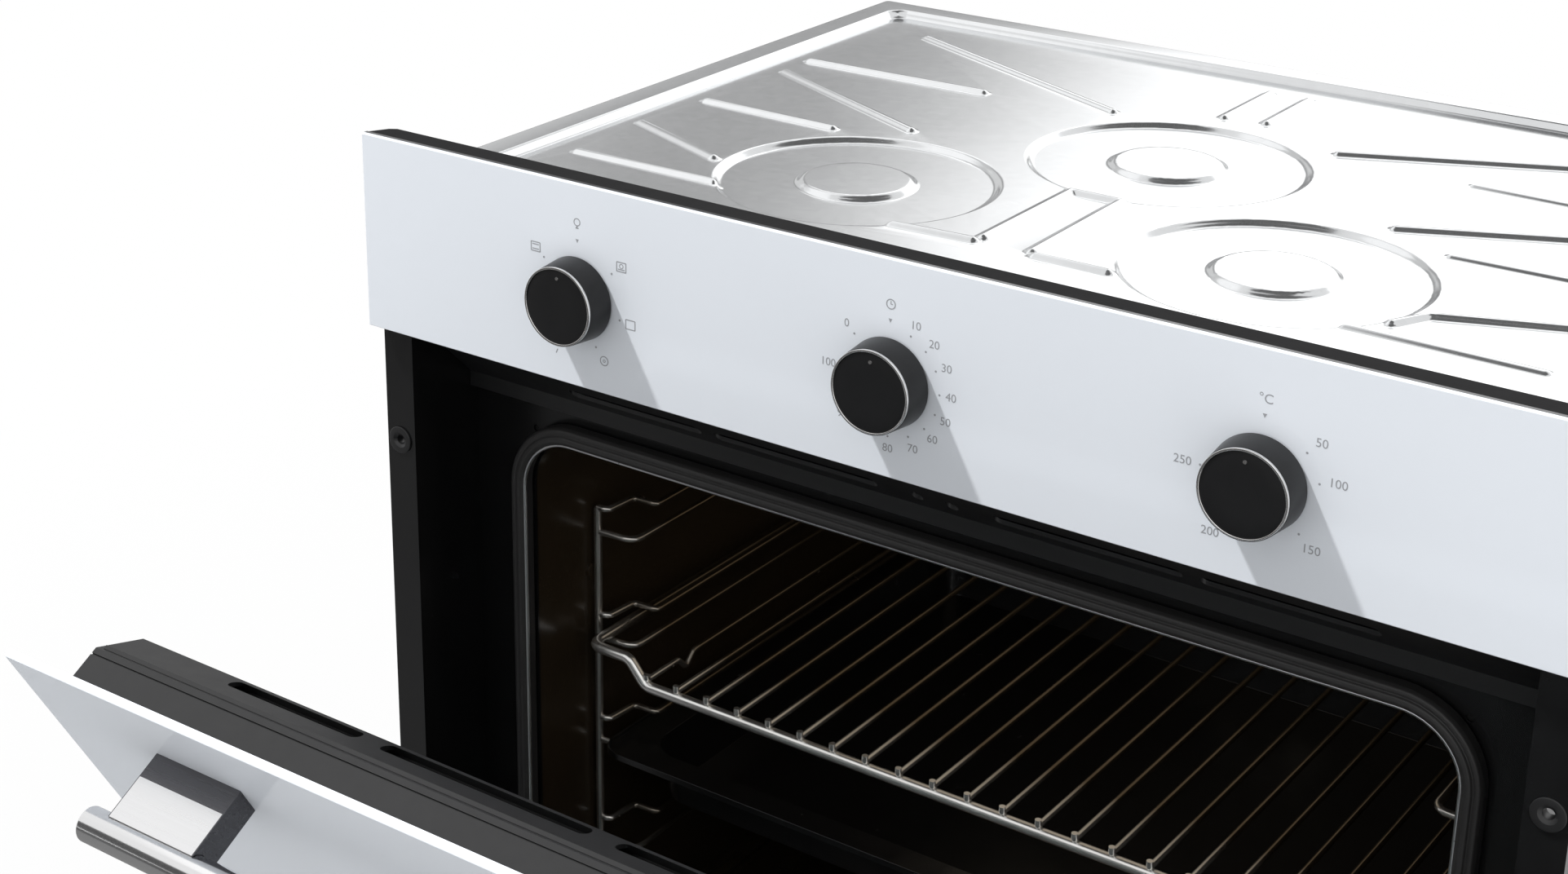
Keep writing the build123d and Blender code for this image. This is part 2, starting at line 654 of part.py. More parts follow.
def make_cover_screws():
    """The hexagonal sheet screws that hold the back cover."""
    seat = REAR_PANEL + THIN_SHEET
    screws = []
    for x in (-REAR_SCREW_X, REAR_SCREW_X):
        for rise in COVER_SCREW_RISES:
            height = REAR_COVER_FOOT + rise
            head = Pos(x, height) * RegularPolygon(COVER_SCREW_HEAD_R, 6)
            shank = rod(x, height, COVER_SCREW_R, (seat - COVER_SCREW_LENGTH, seat + 1))
            screws.append(shank + along_depth(head, (seat, seat + COVER_SCREW_HEAD)))
    return screws


def stamped_pad(points):
    """A raised pad with sloping sides, drawn by (X, depth) points at its foot."""
    foot = make_face(Polyline(*[(x, y_at(d)) for x, d in points], close=True))
    crown = offset(foot, -PAD_INSET, kind=Kind.INTERSECTION)
    return loft([Plane.XY.offset(COVER_BASE) * foot, Plane.XY.offset(COVER_TOP) * crown])


def round_pad(x, depth):
    """A raised ring with sloping sides."""
    profile = [
        (x + RING_HOLE_R, COVER_BASE),
        (x + RING_HOLE_R + PAD_INSET, COVER_TOP),
        (x + RING_PAD_R - PAD_INSET, COVER_TOP),
        (x + RING_PAD_R, COVER_BASE),
    ]
    face = Plane.XZ.offset(-y_at(depth)) * make_face(Polyline(*profile, close=True))
    return revolve(face, Axis((x, y_at(depth), 0), (0, 0, 1)))


def make_top_cover():
    """The stamped top sheet, with its raised rim, round pads and stiffening wedges."""
    half = BODY_HALF + COVER_SKIRT_GAP + COVER_SHEET
    back = UPPER_REAR + COVER_SKIRT_GAP + COVER_SHEET
    middle = y_at((COVER_START + back) / 2)
    width = 2 * (half - RIM_WIDTH)
    length = back - COVER_START - 2 * RIM_WIDTH
    crown = Pos(0, middle) * RectangleRounded(width, length, 10)
    floor = Pos(0, middle) * RectangleRounded(width - 2 * PAD_HEIGHT, length - 2 * PAD_HEIGHT, 6)
    pocket = loft([Plane.XY.offset(COVER_BASE) * floor, Plane.XY.offset(COVER_TOP) * crown])
    pads = [round_pad(x, depth) for x, depth in RING_PADS]
    pads += [both_sides(stamped_pad(points)) for points in WEDGES]
    pads += [stamped_pad(points) for points in (FRONT_PAD, BACK_PAD)]
    foot = COVER_TOP - COVER_SKIRT
    outside = block((-half, half), (COVER_START, back), (foot, COVER_TOP))
    outside = outside - pocket + pads
    inner_half = half - COVER_SHEET
    inner_depth = (COVER_START - 1, back - COVER_SHEET)
    inside = block((-inner_half, inner_half), inner_depth, (foot - 1, COVER_TOP))
    inside = inside - pocket + pads
    return outside - Pos(0, 0, -COVER_SHEET) * inside


def make_intermediate_plate():
    """The deck over the insulation that carries the cooling fan and its duct."""
    depth = (PLATE_BACK, UPPER_REAR - THIN_SHEET)
    deck = block((-SHEET_EDGE, SHEET_EDGE), depth, (DECK, DECK_TOP))
    return deck - probe_hole(CAPILLARY_R + 2, (DECK - 1, DECK_TOP + 1))


# Control panel


def make_control_bracket():
    """The folded bracket behind the panel that carries the three controls."""
    foot, top = FRAME_TOP, BODY_TOP
    line = [
        (PLATE_BACK + 3, foot),
        (BRACKET_DEPTH, foot),
        (BRACKET_DEPTH, top),
        (BRACKET_DEPTH + 24, top),
        (BRACKET_DEPTH + 24, top - SHEET),
        (BRACKET_BACK, top - SHEET),
        (BRACKET_BACK, foot + SHEET),
        (PLATE_BACK + 3, foot + SHEET),
    ]
    bracket = along_x(line, (-SHEET_EDGE, SHEET_EDGE))
    ear = block((SHEET_EDGE - SHEET, SHEET_EDGE), (BRACKET_DEPTH, PLATE_BACK + 18), (foot, top - 2))
    bracket += both_sides(ear)
    for x in KNOB_XS:
        bracket -= rod(x, KNOB_HEIGHT, NECK_R + RUNNING_GAP, (BRACKET_DEPTH - 1, BRACKET_BACK + 1))
    return bracket


def make_panel_glass():
    """The white glass of the control panel, drilled for the three shafts."""
    glass = block((-FRONT_HALF, FRONT_HALF), (0, PANEL_GLASS), (PANEL_FOOT, PANEL_TOP))
    glass = chamfer(glass.edges().filter_by(Axis.Y, reverse=True).group_by(Axis.Y)[0], 0.5)
    for x in KNOB_XS:
        glass -= rod(x, KNOB_HEIGHT, SHAFT_HOLE_R, (-1, PANEL_GLASS + 1))
    return glass


def make_panel_carrier():
    """The black moulding behind the panel glass, with the posts that fix it."""
    back = CARRIER_BACK
    section = [
        (-FRONT_HALF + 0.4, PANEL_GLASS),
        (FRONT_HALF - 0.4, PANEL_GLASS),
        (FRONT_HALF - 5.5, back - 2.4),
        (FRONT_HALF - 9, back),
        (9 - FRONT_HALF, back),
        (5.5 - FRONT_HALF, back - 2.4),
    ]
    carrier = along_height(section, (PANEL_FOOT + 0.4, PANEL_TOP - 0.2))
    room_half = FRONT_HALF - 12
    room = (PANEL_FOOT + 0.4 + CARRIER_WALL, PANEL_TOP - 0.2 - CARRIER_WALL)
    carrier -= block((-room_half, room_half), (PANEL_GLASS + CARRIER_WALL, back + 1), room)
    posts = [rod(x, KNOB_HEIGHT, 5, (PANEL_GLASS + 1, BRACKET_DEPTH)) for x in CARRIER_POSTS]
    carrier += posts
    for x in KNOB_XS:
        carrier -= rod(x, KNOB_HEIGHT, SHAFT_HOLE_R, (0, back))
    return carrier


def make_knob(x):
    """A black knob: a hollow tapered drum with a hub for its shaft."""
    rim_back = KNOB_FRONT + RING_WIDTH
    rim_r = KNOB_FACE_R - RING_DEPTH
    taper = (KNOB_BASE_R - KNOB_FACE_R) / KNOB_LENGTH
    profile = [
        (0, KNOB_BACK),
        (KNOB_BASE_R, KNOB_BACK),
        (KNOB_FACE_R + taper * RING_WIDTH, rim_back),
        (rim_r, rim_back),
        (rim_r, KNOB_FRONT + FACE_RECESS),
        (0, KNOB_FRONT + FACE_RECESS),
    ]
    floor = rim_back + KNOB_WALL
    hollow = [
        (KNOB_HUB_R, KNOB_BACK + 1),
        (KNOB_BASE_R - KNOB_WALL, KNOB_BACK + 1),
        (KNOB_FACE_R - KNOB_WALL, floor),
        (KNOB_HUB_R, floor),
    ]
    knob = turned(profile, x, KNOB_HEIGHT) - turned(hollow, x, KNOB_HEIGHT)
    return knob - rod(x, KNOB_HEIGHT, SHAFT_R + RUNNING_GAP, (SHAFT_TIP, KNOB_BACK + 1))


def make_knob_trim(x):
    """The bright ring round a knob's face, and the dot that points to the scale."""
    rim_r = KNOB_FACE_R - RING_DEPTH
    ring = [
        (rim_r, KNOB_FRONT + RING_WIDTH),
        (KNOB_FACE_R, KNOB_FRONT + RING_WIDTH),
        (KNOB_FACE_R, KNOB_FRONT),
        (rim_r, KNOB_FRONT),
    ]
    face = KNOB_FRONT + FACE_RECESS
    dot = rod(x, KNOB_HEIGHT + rim_r - POINTER_FROM_RIM, POINTER_R, (face - 0.25, face))
    return [turned(ring, x, KNOB_HEIGHT), dot]


def make_shaft(x):
    """The shaft of a control, from inside its switch to inside its knob."""
    shaft = rod(x, KNOB_HEIGHT, SHAFT_R, (SHAFT_TIP + RUNNING_GAP, SHAFT_END))
    flat = (KNOB_HEIGHT + SHAFT_R * 0.6, KNOB_HEIGHT + SHAFT_R + 1)
    return shaft - block((x - SHAFT_R, x + SHAFT_R), (SHAFT_TIP - 1, KNOB_BACK), flat)


def finish_control(case, x):
    """A control's case with its threaded neck, its nut and the bore for its shaft."""
    neck = rod(x, KNOB_HEIGHT, NECK_R, (CARRIER_BACK - 2, BRACKET_BACK + 1))
    nut_plane = Plane.XZ.offset(-y_at(BRACKET_DEPTH))
    nut = extrude(nut_plane * (Pos(x, KNOB_HEIGHT) * RegularPolygon(8, 6)), amount=3)
    bore = rod(x, KNOB_HEIGHT, SHAFT_R + RUNNING_GAP, (0, SHAFT_END + RUNNING_GAP))
    return case + neck + nut - bore


def terminal_tabs(x, count, depth):
    """Flat tabs for push-on wires at the back of a control."""
    tabs = []
    for i in range(count):
        middle = x - 14 + 28 * i / (count - 1)
        for height in (KNOB_HEIGHT - 10, KNOB_HEIGHT + 10):
            tab_height = (height - 3.15, height + 3.15)
            tabs.append(block((middle - 0.4, middle + 0.4), (depth - 1, depth + 8), tab_height))
    return tabs


def make_function_switch():
    """The rotary switch that chooses the heating mode."""
    x = KNOB_XS[0]
    back = BRACKET_BACK + SWITCH_LENGTH
    case = rod(x, KNOB_HEIGHT, SWITCH_R, (BRACKET_BACK, back))
    for depth in (BRACKET_BACK + 9, BRACKET_BACK + 18):
        groove = rod(x, KNOB_HEIGHT, SWITCH_R + 1, (depth, depth + 1))
        case -= groove - rod(x, KNOB_HEIGHT, SWITCH_R - 1.5, (depth, depth + 1))
    return finish_control(case + terminal_tabs(x, 4, back), x)


def make_timer_unit():
    """The clockwork timer with its bell."""
    x = KNOB_XS[1]
    plate_back = BRACKET_BACK + 2
    bell_front = BRACKET_BACK + TIMER_LENGTH - 8
    case = rod(x, KNOB_HEIGHT, TIMER_R, (BRACKET_BACK, plate_back))
    case += rod(x, KNOB_HEIGHT, TIMER_R - 4, (plate_back, bell_front))
    bell = [
        (0, bell_front),
        (TIMER_R - 1, bell_front),
        (TIMER_R - 1, bell_front + 3),
        (TIMER_R - 6, bell_front + 7),
        (0, bell_front + 8),
    ]
    return finish_control(case + turned(bell, x, KNOB_HEIGHT), x)


def make_thermostat_unit():
    """The thermostat's case, with its terminals."""
    x = KNOB_XS[2]
    back = BRACKET_BACK + THERMOSTAT_LENGTH
    half_w, half_h = THERMOSTAT_WIDTH / 2, THERMOSTAT_HEIGHT / 2
    case_height = (KNOB_HEIGHT - half_h, KNOB_HEIGHT + half_h)
    case = block((x - half_w, x + half_w), (BRACKET_BACK, back), case_height)
    case = fillet(case.edges().filter_by(Axis.Y), 4)
    return finish_control(case + terminal_tabs(x, 2, back), x)


def make_thermostat_probe():
    """The probe under the cavity's ceiling and the fine tube from it to the thermostat."""
    bulb_height = TOP_ELEMENT_HEIGHT
    bulb_end = PROBE_DEPTH - CAPILLARY_BEND
    bulb = rod(PROBE_X, bulb_height, PROBE_R, (bulb_end - PROBE_LENGTH, bulb_end))
    deck_run = DUCT_TOP + CAPILLARY_RISE
    case_x = KNOB_XS[2]
    case_back = BRACKET_BACK + THERMOSTAT_LENGTH
    entry = KNOB_HEIGHT - THERMOSTAT_HEIGHT / 2 + 6
    route = [
        spot(PROBE_X, bulb_end - 2, bulb_height),
        spot(PROBE_X, PROBE_DEPTH, bulb_height),
        spot(PROBE_X, PROBE_DEPTH, deck_run),
        spot(PROBE_X, case_back + 30, deck_run),
        spot(case_x, case_back + 16, entry),
        spot(case_x, case_back, entry),
    ]
    capillary = wire(route, CAPILLARY_R, CAPILLARY_BEND)
    clip_start = bulb_end - PROBE_LENGTH * 2 / 3
    clip_depth = (clip_start, clip_start + 8)
    clip = block((PROBE_X - 1, PROBE_X + 1), clip_depth, (bulb_height, CAVITY_TOP))
    return bulb + capillary + clip


def make_air_outlet_strip():
    """The slotted strip under the panel, through which the cooling air leaves."""
    edge = RECESS_DEPTH - STRIP_FOOT_DEPTH
    knee = STRIP_FOOT + STRIP_FOOT_HEIGHT
    outer = [
        (RECESS_DEPTH, FRAME_TOP),
        (STRIP_FRONT, FRAME_TOP),
        (STRIP_FRONT, knee + edge - STRIP_FRONT),
        (edge, knee),
        (edge, STRIP_FOOT),
        (RECESS_DEPTH, STRIP_FOOT),
    ]
    wall = STRIP_WALL
    roof = FRAME_TOP - wall
    slope_shift = wall * 2**0.5
    inner = [
        (RECESS_DEPTH + 1, roof),
        (knee + edge - roof + slope_shift, roof),
        (edge + wall, knee - wall + slope_shift),
        (edge + wall, STRIP_FOOT + wall),
        (RECESS_DEPTH + 1, STRIP_FOOT + wall),
    ]
    half = RECESS_HALF - SEAT_GAP
    strip = along_x(outer, (-half, half)) - along_x(inner, (wall - half, half - wall))
    middle = STRIP_SLOT_DEPTH
    height = knee + edge - middle
    cut_plane = Plane.XY.offset(height - 10)
    for side in (-1, 1):
        for low, high in STRIP_SLOT_SPANS:
            centre = side * (low + high) / 2
            cut = Pos(centre, y_at(middle)) * SlotOverall(high - low, STRIP_SLOT)
            strip -= extrude(cut_plane * cut, amount=18)
        dot = Pos(side * STRIP_DOT_X, y_at(middle)) * Circle(STRIP_SLOT / 2)
        strip -= extrude(cut_plane * dot, amount=18)
    return strip


# Cooling fan above the cavity


def make_air_duct():
    """The flat duct that takes the cooling air from the blower to the outlet strip."""
    front, back = DUCT_FRONT_HALF, BLOWER_HALF
    lip = 10

    def plan(grow):
        return [
            (-front - grow, PLATE_BACK),
            (front + grow, PLATE_BACK),
            (back + grow, BLOWER_MOUTH),
            (-back - grow, BLOWER_MOUTH),
        ]

    duct = along_height(plan(THIN_SHEET), (DECK_TOP, DUCT_TOP + THIN_SHEET))
    duct += along_height(plan(lip), (DECK_TOP, DECK_TOP + THIN_SHEET))
    room = along_height(plan(0), (DECK_TOP - 1, DUCT_TOP))
    return duct - room


def scroll(grow):
    """The section of the blower's housing: a round chamber with a low throat in front."""
    foot = DECK_TOP + SHEET - grow
    top = DUCT_TOP + grow
    throat = Pos(y_at((BLOWER_MOUTH + BLOWER_DEPTH) / 2), (foot + top) / 2) * Rectangle(
        BLOWER_DEPTH - BLOWER_MOUTH, top - foot
    )
    chamber = Pos(y_at(BLOWER_DEPTH), BLOWER_HEIGHT) * Circle(BLOWER_SCROLL_R + grow)
    return throat + chamber


def make_cooling_fan_housing():
    """The sheet housing of the cooling blower, open in front above its throat."""
    outer = scroll(SHEET)
    wall = extrude(Plane.YZ.offset(-BLOWER_HALF) * (outer - scroll(0)), amount=2 * BLOWER_HALF)
    intake = (BLOWER_HEIGHT + 4, BLOWER_HEIGHT + BLOWER_SCROLL_R + 5)
    reach = (BLOWER_DEPTH - BLOWER_SCROLL_R - 5, BLOWER_DEPTH - 6)
    wall -= block((-BLOWER_HALF, BLOWER_HALF), reach, intake)
    boss_end = BLOWER_HALF + SHEET + 4
    cheek = extrude(Plane.YZ.offset(BLOWER_HALF) * outer, amount=SHEET)
    cheek += rod_x(BLOWER_DEPTH, BLOWER_HEIGHT, 7, (BLOWER_HALF, boss_end))
    bore = (BLOWER_HALF - 1, boss_end + 1)
    cheek -= rod_x(BLOWER_DEPTH, BLOWER_HEIGHT, BLOWER_SHAFT_R + RUNNING_GAP, bore)
    return wall + both_sides(cheek)


def make_cooling_fan_impeller():
    """The cross-flow rotor: cranked blades between discs, its shaft and the motor's rotor."""
    half = BLOWER_LENGTH / 2
    centre_y = y_at(BLOWER_DEPTH)
    inner_r = BLOWER_R - 6.5
    section = [(inner_r, -1.6), (inner_r + 3.6, 0.5), (BLOWER_R - 0.3, 3.2)]
    section += [(BLOWER_R - 0.8, 4.0), (inner_r + 3.3, 1.4), (inner_r, -0.6)]
    blade = make_face(Polyline(*section, close=True))
    place = Plane.YZ.offset(-half) * Pos(centre_y, BLOWER_HEIGHT)
    blades = [
        extrude(place * Rot(0, 0, 360 * i / BLOWER_BLADES) * blade, amount=BLOWER_LENGTH)
        for i in range(BLOWER_BLADES)
    ]
    discs = [
        rod_x(BLOWER_DEPTH, BLOWER_HEIGHT, BLOWER_R, (x - SHEET / 2, x + SHEET / 2))
        for x in (SHEET / 2 - half, 0, half - SHEET / 2)
    ]
    shaft_left = BLOWER_MOTOR_END - 2
    shaft_right = BLOWER_HALF + SHEET + 4
    shaft = rod_x(BLOWER_DEPTH, BLOWER_HEIGHT, BLOWER_SHAFT_R, (shaft_left, shaft_right))
    rotor = rod_x(
        BLOWER_DEPTH, BLOWER_HEIGHT, ROTOR_R, (BLOWER_STACK + 1, BLOWER_STACK + MOTOR_STACK - 1)
    )
    return shaft + discs + blades + rotor


def make_cooling_fan_motor():
    """The shaded-pole motor beside the blower: stack, coil, two end plates and posts."""
    stack_x = (BLOWER_STACK, BLOWER_STACK + MOTOR_STACK)
    depth = (BLOWER_DEPTH - BLOWER_MOTOR_HALF, BLOWER_DEPTH + BLOWER_MOTOR_HALF)
    height = (BLOWER_HEIGHT - BLOWER_MOTOR_DROP, BLOWER_HEIGHT + BLOWER_MOTOR_RISE)
    motor = block(stack_x, depth, height)
    coil_x = (stack_x[0] - 6, stack_x[1] + 6)
    coil_depth = (BLOWER_DEPTH - COIL_WIDTH / 2, BLOWER_DEPTH + COIL_WIDTH / 2)
    motor += block(coil_x, coil_depth, (height[1] - COIL_HEIGHT + 4, height[1] + 4))
    motor -= rod_x(BLOWER_DEPTH, BLOWER_HEIGHT, ROTOR_R + 0.5, stack_x)
    bearing = BLOWER_SHAFT_R + RUNNING_GAP
    for plate_x in (BLOWER_MOTOR_END, BLOWER_MOTOR_START - SHEET):
        plate = block((plate_x, plate_x + SHEET), depth, (BLOWER_HEIGHT - 12, BLOWER_HEIGHT + 12))
        motor += plate - rod_x(BLOWER_DEPTH, BLOWER_HEIGHT, bearing, (plate_x - 1, plate_x + 3))
    for side in (-1, 1):
        post = (BLOWER_MOTOR_END, -BLOWER_HALF - SHEET)
        motor += rod_x(BLOWER_DEPTH + side * 20, BLOWER_HEIGHT, 2.5, post)
    return motor


# Convection fan and fan cover


def make_fan_cover():
    """The pressed cover in front of the convection fan, with swirled slots."""
    place = Plane(origin=(0, y_at(CAVITY_BACK), CAVITY_MIDDLE), x_dir=(1, 0, 0), z_dir=(0, -1, 0))
    wide, high, deep = FAN_COVER_WIDTH, FAN_COVER_HEIGHT, FAN_COVER_DEPTH
    cover = extrude(place * RectangleRounded(wide, high, 26), amount=deep, taper=20)
    room = RectangleRounded(wide - 2 * SHEET, high - 2 * SHEET, 26 - SHEET)
    cover -= extrude(place * room, amount=deep - SHEET, taper=20)
    inner, outer, turn = 20, CONVECTION_R - 8, 30
    half = 3.2

    def swirl(shift):
        ends = [
            (r * cos(radians(a)), r * sin(radians(a)))
            for r, a in (
                (inner, degrees_at(inner, shift)),
                ((inner + outer) / 2, turn * 0.4 + degrees_at((inner + outer) / 2, shift)),
                (outer, turn + degrees_at(outer, shift)),
            )
        ]
        return ThreePointArc(*ends)

    low, high_side = swirl(-half), swirl(half)
    opening = make_face(
        [low, high_side, Line(low @ 0, high_side @ 0), Line(low @ 1, high_side @ 1)]
    )
    cut_place = place.offset(deep - 3)
    cuts = [
        extrude(cut_place * Rot(0, 0, 360 * i / FAN_SLOTS) * opening, amount=6)
        for i in range(FAN_SLOTS)
    ]
    cover -= cuts
    for side in (-1, 1):
        for row in range(7):
            rise = CAVITY_MIDDLE - 78 + 24 * row
            span = sorted((side * (wide / 2 - 12), side * (wide / 2 + 2)))
            cover -= block(span, (CAVITY_BACK - 15, CAVITY_BACK - 6), (rise, rise + 12))
    return cover


def degrees_at(radius, sideways):
    """The angle that a sideways distance covers at a radius."""
    return sideways / radius * 180 / 3.141592653589793


def make_convection_impeller():
    """The fan wheel in the cavity with its shaft and the motor's rotor."""
    disc_back = CAVITY_BACK - 4.5
    disc = rod(0, CAVITY_MIDDLE, CONVECTION_R, (disc_back - SHEET, disc_back))
    blade_x = (CONVECTION_R - 26, CONVECTION_R - 1)
    blade_depth = (disc_back - CONVECTION_BLADE_DEPTH, disc_back - SHEET / 2)
    blade = block(blade_x, blade_depth, (CAVITY_MIDDLE - 0.5, CAVITY_MIDDLE + 0.5))
    centre = (blade_x[0] + blade_x[1]) / 2
    tilt = Axis((centre, 0, CAVITY_MIDDLE), (0, 1, 0))
    blade = blade.rotate(tilt, 25)
    spin = Axis((0, 0, CAVITY_MIDDLE), (0, 1, 0))
    blades = [blade.rotate(spin, 360 * i / CONVECTION_BLADES) for i in range(CONVECTION_BLADES)]
    hub = rod(0, CAVITY_MIDDLE, 9, (disc_back - CONVECTION_BLADE_DEPTH, disc_back + 2))
    shaft_end = CONVECTION_MOTOR_END + 1
    shaft = rod(0, CAVITY_MIDDLE, CONVECTION_SHAFT_R, (disc_back - CONVECTION_BLADE_DEPTH, shaft_end))
    rotor_depth = (CONVECTION_STACK + 1, CONVECTION_STACK + MOTOR_STACK - 1)
    rotor = rod(0, CAVITY_MIDDLE, ROTOR_R, rotor_depth)
    return disc + hub + blades + shaft + rotor


def make_convection_motor():
    """The motor behind the rear panel, with the tube that brings its shaft to the cavity."""
    bearing = CONVECTION_SHAFT_R + RUNNING_GAP
    half = CONVECTION_MOTOR / 2
    side = (-half, half)
    height = (CAVITY_MIDDLE - half, CAVITY_MIDDLE + half)
    motor = rod(0, CAVITY_MIDDLE, MOTOR_TUBE_R, (REAR_INSULATION, REAR_PANEL + SHEET))
    motor += block(side, (REAR_PANEL, REAR_PANEL + SHEET), height)
    motor += block(side, (CONVECTION_STACK, CONVECTION_STACK + MOTOR_STACK), height)
    coil = (CONVECTION_STACK - 5, CONVECTION_STACK + MOTOR_STACK + 5)
    motor += block((-18, 18), coil, (height[1] - 14, height[1] + 6))
    end_plate = (CONVECTION_MOTOR_END - SHEET, CONVECTION_MOTOR_END)
    motor += block(side, end_plate, (CAVITY_MIDDLE - 12, CAVITY_MIDDLE + 12))
    for x in (6 - half, half - 6):
        motor += rod(x, CAVITY_MIDDLE, 2.5, (REAR_PANEL, CONVECTION_MOTOR_END))
    stack_bore = (CONVECTION_STACK - 0.5, CONVECTION_STACK + MOTOR_STACK + 0.5)
    motor -= rod(0, CAVITY_MIDDLE, ROTOR_R + 0.5, stack_bore)
    return motor - rod(0, CAVITY_MIDDLE, bearing, (REAR_INSULATION - 1, CONVECTION_MOTOR_END + 1))


# Heating elements, lamp and connection


def element(half, leg_x, height):
    """A tubular heater bent to a loop, with its two legs going out through the back."""
    end = REAR_PANEL + 12
    route = [
        spot(-leg_x, end, height),
        spot(-leg_x, ELEMENT_TURN, height),
        spot(-half, ELEMENT_TURN, height),
        spot(-half, ELEMENT_FRONT, height),
        spot(half, ELEMENT_FRONT, height),
        spot(half, ELEMENT_TURN, height),
        spot(leg_x, ELEMENT_TURN, height),
        spot(leg_x, end, height),
    ]
    return wire(route, ELEMENT_R, ELEMENT_BEND)


def make_top_element():
    """The grill element under the ceiling, with its fixing plate and front straps."""
    height = TOP_ELEMENT_HEIGHT
    heater = element(TOP_ELEMENT_HALF, TOP_LEG_X, height)
    plate_half = TOP_LEG_X + 14
    plate_depth = (CAVITY_BACK - SHEET, CAVITY_BACK)
    heater += block((-plate_half, plate_half), plate_depth, (height - 9, height + 9))
    strap_x = (STRAP_X - STRAP_WIDTH / 2, STRAP_X + STRAP_WIDTH / 2)
    strap_depth = (ELEMENT_FRONT - STRAP_THICK / 2, ELEMENT_FRONT + STRAP_THICK / 2)
    strap = block(strap_x, strap_depth, (height, CAVITY_TOP))
    return heater + both_sides(strap)


def make_bottom_element():
    """The element under the cavity's floor."""
    return element(BOTTOM_ELEMENT_HALF, BOTTOM_LEG_X, BOTTOM_ELEMENT_HEIGHT)


def make_lamp_socket():
    """The lamp's socket, set through the rear wall."""
    floor = CAVITY_BACK + 12
    profile = [
        (0, floor),
        (12, floor),
        (12, CAVITY_BACK - 1.5),
        (LAMP_R + 4, CAVITY_BACK - 1.5),
        (LAMP_R + 4, CAVITY_BACK),
        (LAMP_R, CAVITY_BACK),
        (LAMP_R, REAR_INSIDE - 1),
        (0, REAR_INSIDE - 1),
    ]
    return turned(profile, LAMP_X, LAMP_HEIGHT)


def make_lamp_bulb():
    """The small round bulb with its cap."""
    cap = CAVITY_BACK + 12
    steps = 4
    globe = [
        (9 * sin(radians(15 + 165 * i / steps)), cap - 16 + 10 * cos(radians(15 + 165 * i / steps)))
        for i in range(steps)
    ]
    profile = [(0, cap), (6, cap), (6, cap - 5)] + globe + [(0, cap - 26)]
    return turned(profile, LAMP_X, LAMP_HEIGHT)


def make_lamp_glass():
    """The domed glass over the lamp."""
    foot = CAVITY_BACK - 1.5
    dome = LAMP_GLASS_R

    def curve(radius):
        return [
            (radius * sin(radians(90 - 30 * i)), foot - 4 - radius * cos(radians(90 - 30 * i)))
            for i in range(4)
        ]

    outer, inner = curve(dome), curve(dome - 2)
    return turned([(dome, foot)] + outer + inner[::-1] + [(dome - 2, foot)], LAMP_X, LAMP_HEIGHT)


def make_terminal_block():
    """The block on the upper rear face where the supply is connected."""
    low, high = TERMINAL_X - 30, TERMINAL_X + 30
    foot = STEP_HEIGHT + 22
    body = block((low, high), (UPPER_REAR, UPPER_REAR + 28), (foot, foot + 40))
    body = chamfer(body.edges().filter_by(Axis.Z), 2)
    for i in range(5):
        left = low + 5 + 10.4 * i
        body -= block((left, left + 8.4), (UPPER_REAR + 14, UPPER_REAR + 29), (foot - 1, foot + 34))
        screw = rod(left + 4.2, foot + 20, 3, (UPPER_REAR + 13, UPPER_REAR + 17))
        body += screw
    return body


# Side racks, shelf and tray


def rail_height(level):
    """The height of a level's lower rail, counted down from the top level."""
    return TOP_RAIL_WIRE - level * LEVEL_PITCH


def make_side_rack():
    """A side rack of bent wire, right-hand: two posts and a pair of rails on each level."""
    foot = rail_height(RACK_LEVELS - 1) - 12
    top = rail_height(0) + RAIL_PAIR
    rack = None
    for depth in (RACK_FRONT, RACK_REAR):
        ends = [spot(POST_X, depth, foot), spot(POST_X, depth, top)]
        post = kinked_wire(ends, RACK_POST_R)
        rack = post if rack is None else rack + post
    step_x = POST_X - RACK_FIRST_STEP
    step_depth = RACK_FRONT + RACK_FIRST_RUN
    for level in range(RACK_LEVELS):
        lower = rail_height(level)
        upper = lower + RAIL_PAIR
        support = [
            spot(POST_X, RACK_FRONT, lower),
            spot(RAIL_X, RACK_FRONT + 1.5, lower),
            spot(RAIL_X, RACK_REAR, lower),
            spot(POST_X, RACK_REAR, lower),
        ]
        guard = [
            spot(POST_X, RACK_FRONT, upper),
            spot(step_x, RACK_FRONT, upper),
            spot(step_x - 1.5, step_depth, upper),
            spot(RAIL_X, step_depth + 0.7, upper),
            spot(RAIL_X, RACK_REAR, upper),
            spot(POST_X, RACK_REAR, upper),
        ]
        rack += kinked_wire(support, RACK_WIRE_R)
        rack += kinked_wire(guard, RACK_WIRE_R)
    return rack


